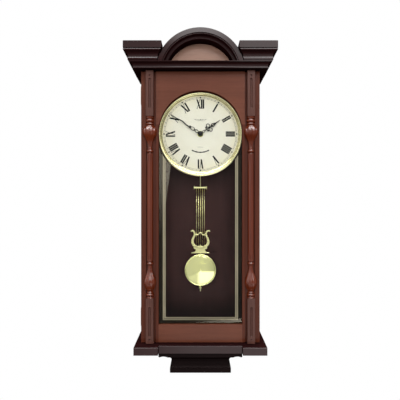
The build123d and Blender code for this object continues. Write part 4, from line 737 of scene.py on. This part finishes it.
def ornament_outlines():
    """The plain ornaments: a leafy arc and five dots below the middle, a scroll above it."""
    outlines = arc_band(45.0, 47.4, 157, 203, 30)
    for angle in (155, 168, 180, 192, 205):
        leaf = [(x, z + 46.3) for x, z in ring_loop(0, 0, 2.8, 1.7, 16)]
        outlines.append(turned(leaf, angle))
    for offset in (-6, -3, 0, 3, 6):
        outlines.append([(x, z - 33.0) for x, z in ring_loop(offset, 0, 1.1, 0.45, 12)])
    for side in (-1, 1):
        curl = smooth_run([(side * 2, 34.6), (side * 6, 36.8), (side * 10, 35.2), (side * 13, 36.4)], 6)
        for (x0, z0), (x1, z1) in zip(curl, curl[1:]):
            outlines.append([(x0, z0 - 0.35), (x1, z1 - 0.35), (x1, z1 + 0.35), (x0, z0 + 0.35)])
        outlines.append(ring_loop(side * 13.6, 36.8, 0.9, 0.9, 12))
        outlines.append(ring_loop(side * 5.0, 33.2, 2.6, 0.4, 14))
    outlines.append([(0, 33.4), (1.5, 35.8), (0, 38.2), (-1.5, 35.8)])
    return outlines


def build_printing():
    """Numerals, minute track and the plain ornaments, as thin raised ink."""
    ink_front = low("dial_printing").y
    verts, faces = [], []
    for outline in numeral_outlines() + track_outlines() + ornament_outlines():
        prism(verts, faces, mm_loop(outline), ink_front, DIAL_Y)
    for inner, outer in ((TRACK_IN - 0.45, TRACK_IN), (TRACK_OUT, TRACK_OUT + 0.45)):
        annulus(verts, faces, inner * MM, outer * MM, ink_front, DIAL_Y)
    printing = add_mesh("printed_dial_ink", verts, faces, "ink", "case", False)
    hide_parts("dial_printing")


# ---------------------------------------------------------------- bezel
def build_bezel():
    """The rolled brass bezel: a round outer bead, a fine groove and a sloping inner lip."""
    front, back = low("bezel").y, high("bezel").y
    outer, inner = BEZEL_R, 95.6 * MM
    half_bead, bead_height = 3.6 * MM, 1.8 * MM
    profile = [(outer, back), (outer, front + bead_height)]
    for i in range(1, 12):
        a = pi * i / 12
        profile.append((outer - half_bead + half_bead * cos(a), front + bead_height - bead_height * sin(a)))
    profile += [(outer - 7.2 * MM, front + 1.9 * MM), (outer - 7.5 * MM, front + 1.9 * MM),
                (outer - 8.0 * MM, front + 0.7 * MM), (inner + 0.6 * MM, front + 2.2 * MM),
                (inner, front + 3.0 * MM), (inner, back)]
    steps = 240
    verts, faces = turning(profile, steps)
    last = (len(profile) - 1) * steps
    faces += [(last + j, last + (j + 1) % steps, (j + 1) % steps, j) for j in range(steps)]
    bezel = add_mesh("rolled_bezel", verts, faces, "bezel_brass", "case")
    bezel.data.set_sharp_from_angle(angle=radians(40))
    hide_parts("bezel")


# ---------------------------------------------------------------- hands
# Degrees clockwise from twelve: about ten minutes to two.
MINUTE_TURN = 303.0
HOUR_TURN = 55.25


def ribbon(line, steps=6):
    """A band along a curved line of (across, along, width) stations."""
    left = smooth_run([(across - width / 2, along) for across, along, width in line], steps)
    right = smooth_run([(across + width / 2, along) for across, along, width in line], steps)
    return left + right[::-1]


def build_hand(name, shapes, node_name, body, turn):
    """A pierced hand: flat stamped shapes joined into one piece."""
    y0, y1 = low(node_name).y, high(node_name).y
    parts = [plate(name, [mm_loop(loop) for loop in loops], y0, y1, "black_paint", body, 0.08 * MM, turn)
             for loops in shapes]
    hand = join(name, parts)
    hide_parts(node_name)


def build_minute_hand():
    """The serpentine minute hand: eye, two pierced loops, a small spur, a wavy arm and a fine point."""
    eye = [ring_loop(0, 0, 6.6, 6.6, 40), ring_loop(0, 0, 1.55, 1.55, 24)]
    near_out = smooth_run([(1.6, 5.4), (3.9, 9.2), (3.9, 13.2), (1.3, 17.2)], 6)
    near_in = smooth_run([(0, 7.2), (2.3, 9.6), (2.3, 12.9), (0, 15.4)], 6)
    far_out = smooth_run([(1.3, 16.6), (4.2, 20.6), (4.2, 25.4), (1.4, 31.0)], 6)
    far_in = smooth_run([(0, 18.6), (2.7, 21.2), (2.7, 25.0), (0, 28.6)], 6)
    spur = smooth_run([(0.8, 28.6), (3.6, 30.8), (1.2, 34.4)], 5)
    arm = ribbon([(-0.2, 30.0, 2.6), (-1.1, 37.0, 3.0), (-0.7, 43.0, 2.8), (1.3, 53.0, 3.0),
                  (1.0, 62.0, 2.7), (-0.5, 73.0, 2.2), (-0.1, 84.0, 1.6), (0.0, 92.8, 0.5)])
    shapes = [eye, [mirror_loop(near_out), mirror_loop(near_in)],
              [mirror_loop(far_out), mirror_loop(far_in)], [mirror_loop(spur)], [arm]]
    build_hand("serpentine_minute_hand", shapes, "minute_hand", "minute", MINUTE_TURN)


def build_hour_hand():
    """The hour hand: eye, loop, two knobs, two open rings and a pierced spade with a long point."""
    eye = [ring_loop(0, 0, 5.0, 5.0, 40), ring_loop(0, 0, 2.65, 2.65, 24)]
    loop_out = smooth_run([(1.2, 4.2), (2.8, 8.0), (2.4, 12.0), (1.0, 15.0)], 6)
    loop_in = smooth_run([(0, 6.4), (1.4, 8.6), (1.2, 11.4), (0, 13.4)], 6)
    stem = [(1.0, 14.0), (1.2, 20.0), (0.8, 34.0)]
    bar = [(4.4, 19.9), (4.4, 21.1)]
    knobs = [[ring_loop(x, 20.4, 2.3, 2.1, 18)] for x in (-4.6, 4.6)]
    rings = [[ring_loop(x, 27.4, 5.3, 5.0, 32), ring_loop(x, 27.4, 3.5, 3.2, 28)] for x in (-5.9, 5.9)]
    spade_out = smooth_run([(0.7, 31.4), (4.3, 36.0), (4.5, 40.2), (2.2, 45.4), (0.9, 49.6)], 6)
    holes = [ring_loop(side * 1.9, 38.8, 1.05, 2.5, 18, side * 0.12) for side in (-1, 1)]
    point = [(1.2, 48.0), (0.9, 56.0), (0.25, 62.0)]
    shapes = [eye, [mirror_loop(loop_out), mirror_loop(loop_in)], [mirror_loop(stem)], [mirror_loop(bar)],
              *knobs, *rings, [mirror_loop(spade_out), *holes], [mirror_loop(point)]]
    build_hand("pierced_hour_hand", shapes, "hour_hand", "hour", HOUR_TURN)


# ---------------------------------------------------------------- printed glass
# Each band's outer and inner half widths, then its lower and upper edges above the foot, in millimetres.
# The third black band is no print but painted shadow: the thin dark line just inside the inner gold.
BLACK_PRINT_AND_SHADOW_BANDS = ((RAIL_HALF / MM + 0.7, 93.9, 0.0, 8.9), (90.6, 90.1, 12.4, 13.0), (86.7, 85.4, 16.6, 18.0))
OUTER_GOLD = (93.8, 90.7, 9.0, 12.3)
INNER_GOLD = (90.0, 86.8, 13.1, 16.5)
BEZEL_GAP = 1.2 * MM


def below_bezel(x):
    """Height at a place x where printing stops just short of the bezel's lower edge."""
    return -sqrt(max(0.0, (BEZEL_R + BEZEL_GAP) ** 2 - x ** 2))


def edge_band(name, band, material):
    """A printed band down both sides and along the foot of the pane, cut off at the bezel."""
    y0, y1 = GLASS_BACK, high("glass_printing").y
    outer_x, inner_x, lower, upper = (value * MM for value in band)
    outer_z = low("glass_printing").z + lower
    inner_z = low("glass_printing").z + upper
    steps = 8
    across = [inner_x + (outer_x - inner_x) * i / steps for i in range(steps + 1)]
    verts, faces = [], []
    for side in (1, -1):
        head = [(side * x, below_bezel(x)) for x in across]
        prism(verts, faces, head + [(side * outer_x, outer_z), (side * inner_x, inner_z)], y0, y1)
    foot = [(-outer_x, outer_z), (outer_x, outer_z), (inner_x, inner_z), (-inner_x, inner_z)]
    prism(verts, faces, foot, y0, y1)
    return add_mesh(name, verts, faces, material, "door", False)


def build_glass_printing():
    """The black margin, the gold double line and a thin painted shadow line inside the gold, on the back of
    the pane.
    """
    black = [edge_band("printed_black", band, "margin") for band in BLACK_PRINT_AND_SHADOW_BANDS]
    margin = join("printed_black_margin_and_shadow_line", black)
    outer = edge_band("printed_gold_outer_line", OUTER_GOLD, "gold_ink")
    inner = edge_band("printed_gold_inner_line", INNER_GOLD, "gold_ink")
    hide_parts("glass_printing")


# ---------------------------------------------------------------- pendulum
def build_lyre():
    """The brass lyre with rounded edges: horned arms, wavy yoke, bowl, pedestal and foot."""
    y0, y1 = low("lyre").y - 0.3 * MM, high("lyre").y
    arm = smooth_run([(7.0, -290.5), (17.0, -287.8), (22.2, -281.6), (23.9, -273.6), (21.9, -266.0),
                      (18.6, -260.0), (17.2, -254.6), (18.2, -250.2), (21.0, -248.2), (24.0, -249.2),
                      (25.2, -247.6), (23.2, -244.9), (18.6, -244.5), (14.4, -247.8), (12.4, -253.2),
                      (13.0, -259.6), (15.6, -265.8), (17.0, -273.2), (15.2, -280.0), (10.8, -284.2),
                      (5.6, -286.4)], 5, True)
    yoke = smooth_run([(0, -253.2), (2.6, -254.6), (5.2, -257.8), (9.6, -258.6), (14.4, -258.4)], 5)
    yoke += smooth_run([(14.4, -254.6), (9.8, -254.2), (6.6, -254.8), (4.2, -252.0), (2.0, -249.6),
                        (0, -249.0)], 5)
    bowl = smooth_run([(0, -281.2), (1.6, -282.4), (2.0, -284.6), (5.4, -286.2), (10.0, -286.0),
                       (16.4, -287.4), (17.6, -290.0), (14.8, -293.6), (0, -294.0)], 5)
    base = smooth_run([(12.8, -292.6), (12.2, -296.6), (14.0, -299.8), (18.6, -301.6), (23.2, -302.4)], 5)
    foot = [(0, -291.0)] + base + [(23.4, -304.6), (0, -304.6)]
    shapes = [arm, [(-x, z) for x, z in arm], mirror_loop(yoke), mirror_loop(bowl), mirror_loop(foot)]
    parts = [plate("lyre_part", [mm_loop(loop)], y0, y1, "satin_brass", "pendulum", 0.7 * MM)
             for loop in shapes]
    lyre = join("cast_lyre", parts)
    lyre.data.shade_smooth()
    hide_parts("lyre")


def lathe_z(verts, faces, x, y, profile, steps=20):
    """Add a closed turning about an upright line; the profile is (radius, height) in metres."""
    base = len(verts)
    for radius, z in profile:
        for j in range(steps):
            a = 2 * pi * j / steps
            verts.append((x + radius * cos(a), y + radius * sin(a), z))
    faces.extend(grid_faces(len(profile), steps, True, base))
    faces.extend(tuple(reversed(cap)) for cap in end_caps(len(profile), steps, base))


def build_strings():
    """The waisted crossbar and the five strings."""
    corner, far = low("lyre_strings"), high("lyre_strings")
    mid_y, half_depth = (corner.y + far.y) / 2, (far.y - corner.y) / 2
    half_tall = 4.6 * MM
    middle = far.z - half_tall
    waist = [(-1.0, 0.55), (-0.985, 1.0), (-0.93, 1.0), (-0.91, 0.72), (-0.86, 0.62), (-0.5, 0.55)]
    profile = waist + [(0.0, 0.52)] + [(-place, share) for place, share in reversed(waist)]
    steps = 24
    verts = []
    for place, share in profile:
        for j in range(steps):
            a = 2 * pi * j / steps
            out, up = half_depth * share ** 0.5 * cos(a), half_tall * share * sin(a)
            verts.append((place * far.x, mid_y + out, middle + up))
    faces = grid_faces(len(profile), steps, True)
    faces += [tuple(reversed(cap)) for cap in end_caps(len(profile), steps)]
    spacing, radius = 5.1 * MM, 0.8 * MM
    for place in (-2, -1, 0, 1, 2):
        lathe_z(verts, faces, place * spacing, mid_y + radius, [(radius, corner.z), (radius, middle)])
    strings = add_mesh("crossbar_and_strings", verts, faces, "satin_brass", "pendulum")
    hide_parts("lyre_strings")


def build_bob():
    """The bob: a rolled rim round a shallow polished dome, and a flat back."""
    corner, far = low("pendulum_bob"), high("pendulum_bob")
    radius = (far.x - corner.x) / 2
    front, back = corner.y, far.y
    dome_height = 4.6 * MM
    rim_y = front + dome_height
    profile = [(0.0, back), (radius - 0.6 * MM, back), (radius, back - 0.6 * MM), (radius, rim_y + 1.2 * MM)]
    for i in range(9):
        a = pi * i / 8
        profile.append((radius - 1.9 * MM + 1.9 * MM * cos(a), rim_y + 0.8 * MM - 1.5 * MM * sin(a)))
    dome_radius = radius - 4.2 * MM
    for i in range(17):
        share = cos(pi / 2 * i / 16)
        profile.append((dome_radius * share, rim_y - dome_height * (1 - share ** 2)))
    steps, pinhole = 96, 0.02 * MM
    profile = [(max(r, pinhole), y) for r, y in profile]
    verts, faces = turning(profile, steps, (corner.z + far.z) / 2)
    faces += end_caps(len(profile), steps)
    bob = add_mesh("domed_bob", verts, faces, "brass", "bob")
    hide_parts("pendulum_bob")


# ---------------------------------------------------------------- stage, light and camera
def stage_material():
    """Plain white that shows as an even bright backdrop."""
    material, tree, shader = new_material("plain_white")
    speckle = noise(tree, object_coords(tree, (3.0,) * 3), 1.0, 2.0)
    white = ramp(tree, speckle, ((0.0, (1.0,) * 3), (1.0, (0.998,) * 3)))
    glow = node(tree, "Emission")
    link(tree, white, glow.inputs["Color"])
    tree.nodes.remove(shader)
    link(tree, glow.outputs["Emission"], tree.nodes["Material Output"].inputs["Surface"])
    return material


def build_stage():
    """A pale floor that sweeps up into a backdrop well behind the clock; only the camera sees it."""
    floor_z = CAD_BOUNDS[0].z - 0.25
    back_y, bend, front_y, half, top = 1.6, 0.5, -4.0, 4.5, 3.2
    profile = [(front_y, floor_z), (back_y - bend, floor_z)]
    for i in range(1, 13):
        a = pi / 2 * i / 12
        profile.append((back_y - bend + bend * sin(a), floor_z + bend - bend * cos(a)))
    profile.append((back_y, top))
    verts = [(x, y, z) for y, z in profile for x in (-half, half)]
    mesh = bpy.data.meshes.new("sweep")
    mesh.from_pydata(verts, [], grid_faces(len(profile), 2))
    mesh.shade_smooth()
    mesh.materials.append(stage_material())
    obj = add_object("sweep", mesh)
    obj.visible_diffuse = False
    obj.visible_glossy = False
    obj.visible_shadow = False


def area_light(name, place, target, size, energy):
    """A soft square light that looks at a target and leaves no mirror image."""
    data = bpy.data.lights.new(name, "AREA")
    data.size = size
    data.energy = energy
    obj = add_object(name, data)
    obj.location = place
    obj.rotation_euler = (Vector(target) - Vector(place)).to_track_quat("-Z", "Y").to_euler()
    obj.visible_glossy = False


def direction(azimuth, elevation):
    """A unit vector from the clock: azimuth 0 is straight ahead of it, positive to the viewer's right."""
    a, e = radians(azimuth), radians(elevation)
    return (sin(a) * cos(e), -cos(a) * cos(e), sin(e))


def soft_box(tree, incoming, azimuth, elevation, radius, brightness):
    """A round soft light in the room that the polished surfaces mirror."""
    dot = node(tree, "VectorMath", operation="DOT_PRODUCT")
    link(tree, incoming, dot.inputs[0])
    dot.inputs[1].default_value = direction(azimuth, elevation)
    edge = cos(radians(radius))
    inside = soft_step(tree, dot.outputs["Value"], edge, 1.6 * (1 - edge))
    return times(tree, inside, brightness)


# Azimuth, elevation, angular radius and brightness of each soft box.
SOFT_BOXES = ((32, 34, 17, 5.0), (0, 72, 32, 8.5), (-62, 24, 26, 1.2), (-30, 54, 13, 10.0),
              (34, 58, 13, 10.0), (0, 26.5, 5, 8.0), (10, 22.0, 5, 3.2))


# The mirrored room is laid out by x (to the right) and z (up) of a unit direction from the clock.
GLOOM_TOP = -0.72
TABLE_EDGE, EDGE_DROP = -0.222, 0.5
SUN_LEFT, SUN_RIGHT = -0.07, 0.47
SHADED_TABLE, SUNLIT_TABLE = 0.22, 1.40
FLOOR_GREY, WALL_GREY = 0.20, 0.60
RAIL_FOOT, RAIL_HEAD, RAIL_SHADE = 0.312, 0.350, 0.5
SHELF_FOOT, SHELF_HEAD, SHELF_GLOW = 0.352, 0.47, 0.45


def table_level(tree, x, z):
    """The white table: sunlit in the middle, its far edge dropping to the left."""
    drop = times(tree, math_node(tree, "MAXIMUM", times(tree, x, -1.0), 0.0), EDGE_DROP)
    above = soft_step(tree, plus(tree, z, drop), TABLE_EDGE, 0.012)
    table = times(tree, minus(tree, 1.0, above), soft_step(tree, z, GLOOM_TOP, 0.24))
    beyond = minus(tree, 1.0, soft_step(tree, x, SUN_RIGHT, 0.02))
    sunlit = times(tree, soft_step(tree, x, SUN_LEFT, 0.14), beyond)
    return times(tree, table, remap(tree, sunlit, SHADED_TABLE, SUNLIT_TABLE))


def wall_level(tree, x, z):
    """The grey wall: gloomy by the floor and to the right, with a dark rail and a pale shelf above it."""
    level = plus(tree, FLOOR_GREY, times(tree, soft_step(tree, z, GLOOM_TOP, 0.30), WALL_GREY))
    level = plus(tree, level, times(tree, soft_step(tree, x, 0.45, 0.5), -0.35))
    rail = minus(tree, soft_step(tree, z, RAIL_FOOT, 0.012), soft_step(tree, z, RAIL_HEAD, 0.012))
    level = minus(tree, level, times(tree, rail, RAIL_SHADE))
    shelf = minus(tree, soft_step(tree, z, SHELF_FOOT, 0.02), soft_step(tree, z, SHELF_HEAD, 0.03))
    return plus(tree, level, times(tree, shelf, SHELF_GLOW))


def window_glints(tree, x, y, z):
    """Bright things that only the pane mirrors: a low wedge widening to the right, a curtain on the left.

    The curtain leans with height, and a round patch is missing from it where the dial stands behind.
    """
    wedge_foot, wedge_slope = -0.3065, 0.09
    curtain_lean, curtain_foot, curtain_top = 0.135, -0.0875, 0.16
    patch_z, patch_radius_squared = 0.174, 0.0126
    wedge_top = plus(tree, times(tree, plus(tree, x, 0.05), wedge_slope), wedge_foot)
    wedge = times(tree, soft_step(tree, z, wedge_foot, 0.002),
                  soft_step(tree, minus(tree, wedge_top, z), 0.0, 0.003))
    wedge = times(tree, wedge, remap(tree, x, 0.2, 1.0, -0.05, 0.10))
    curtain_edge = plus(tree, times(tree, z, curtain_lean), curtain_foot)
    curtain = soft_step(tree, minus(tree, curtain_edge, x), 0.0, 0.004)
    curtain = times(tree, curtain, remap(tree, z, 0.0, 0.5, -0.09, 0.06))
    above_patch = minus(tree, z, patch_z)
    away = plus(tree, times(tree, x, x), times(tree, above_patch, above_patch))
    curtain = times(tree, curtain, soft_step(tree, away, patch_radius_squared, 0.0006))
    curtain = times(tree, curtain, soft_step(tree, minus(tree, curtain_top, z), 0.0, 0.04))
    ahead = soft_step(tree, times(tree, y, -1.0), 0.8, 0.1)
    return times(tree, plus(tree, wedge, curtain), ahead)


def choose(tree, factor, first, second):
    """The second colour where the factor is 1, else the first; each a socket or a plain colour."""
    made = node(tree, "MixRGB")
    link(tree, factor, made.inputs["Fac"])
    for socket, colour in ((made.inputs["Color1"], first), (made.inputs["Color2"], second)):
        if isinstance(colour, tuple):
            socket.default_value = (*colour, 1.0)
        else:
            link(tree, colour, socket)
    return made.outputs["Color"]


def build_world():
    """The room: what matt surfaces gather from it, what polish and the pane mirror, white to the camera."""
    world = bpy.data.worlds.new("studio")
    bpy.context.scene.world = world
    world.use_nodes = True
    tree = world.node_tree
    incoming = node(tree, "TexCoord").outputs["Generated"]
    split = node(tree, "SeparateXYZ")
    link(tree, incoming, split.inputs["Vector"])
    x, y, z = (split.outputs[axis] for axis in "XYZ")
    height = remap(tree, z, 0.0, 1.0, -1.0, 1.0)
    greys = ((0.0, 0.14), (0.42, 0.28), (0.60, 0.85), (1.0, 1.4))
    matt = ramp(tree, height, [(place, (grey,) * 3) for place, grey in greys])
    level = plus(tree, table_level(tree, x, z), wall_level(tree, x, z))
    for box in SOFT_BOXES:
        level = plus(tree, level, soft_box(tree, incoming, *box))
    path = node(tree, "LightPath")
    in_pane = choose(tree, window_glints(tree, x, y, z), (0.11, 0.11, 0.11), (5.6, 5.1, 4.0))
    mirrored = choose(tree, path.outputs["Is Singular Ray"], level, in_pane)
    shade = choose(tree, path.outputs["Is Glossy Ray"], matt, mirrored)
    seen = choose(tree, path.outputs["Is Camera Ray"], shade, (1.0, 1.0, 1.0))
    link(tree, seen, tree.nodes["Background"].inputs["Color"])


def build_light():
    """The room and four large soft lights: a key from the upper right, a fill, one ahead, one behind."""
    build_world()
    target = (0, -0.1, 0.0)
    area_light("key", (0.7, -1.5, 0.9), target, 0.9, 14)
    area_light("fill", (-1.2, -1.5, 0.3), target, 1.2, 8)
    area_light("front", (0.0, -1.9, 0.05), target, 1.2, 13)
    area_light("rear", (0.5, 1.4, 0.6), target, 1.0, 14)


def build_camera():
    """The camera: square on, level with the upper pendulum, about a metre away."""
    distance, aim_x, aim_z = 0.95, -0.001, -0.1668
    data = bpy.data.cameras.new("camera")
    data.sensor_width = 36.0
    data.lens = 34.614
    obj = add_object("camera", data)
    obj.location = (aim_x, DOOR_FRONT - distance, aim_z)
    obj.rotation_euler = (pi / 2, 0, 0)
    bpy.context.scene.camera = obj
    bpy.context.scene.view_settings.view_transform = "Standard"


dress_frame()
build_columns()
build_printing()
build_bezel()
build_minute_hand()
build_hour_hand()
build_glass_printing()
build_lyre()
build_strings()
build_bob()
build_stage()
build_light()
build_camera()
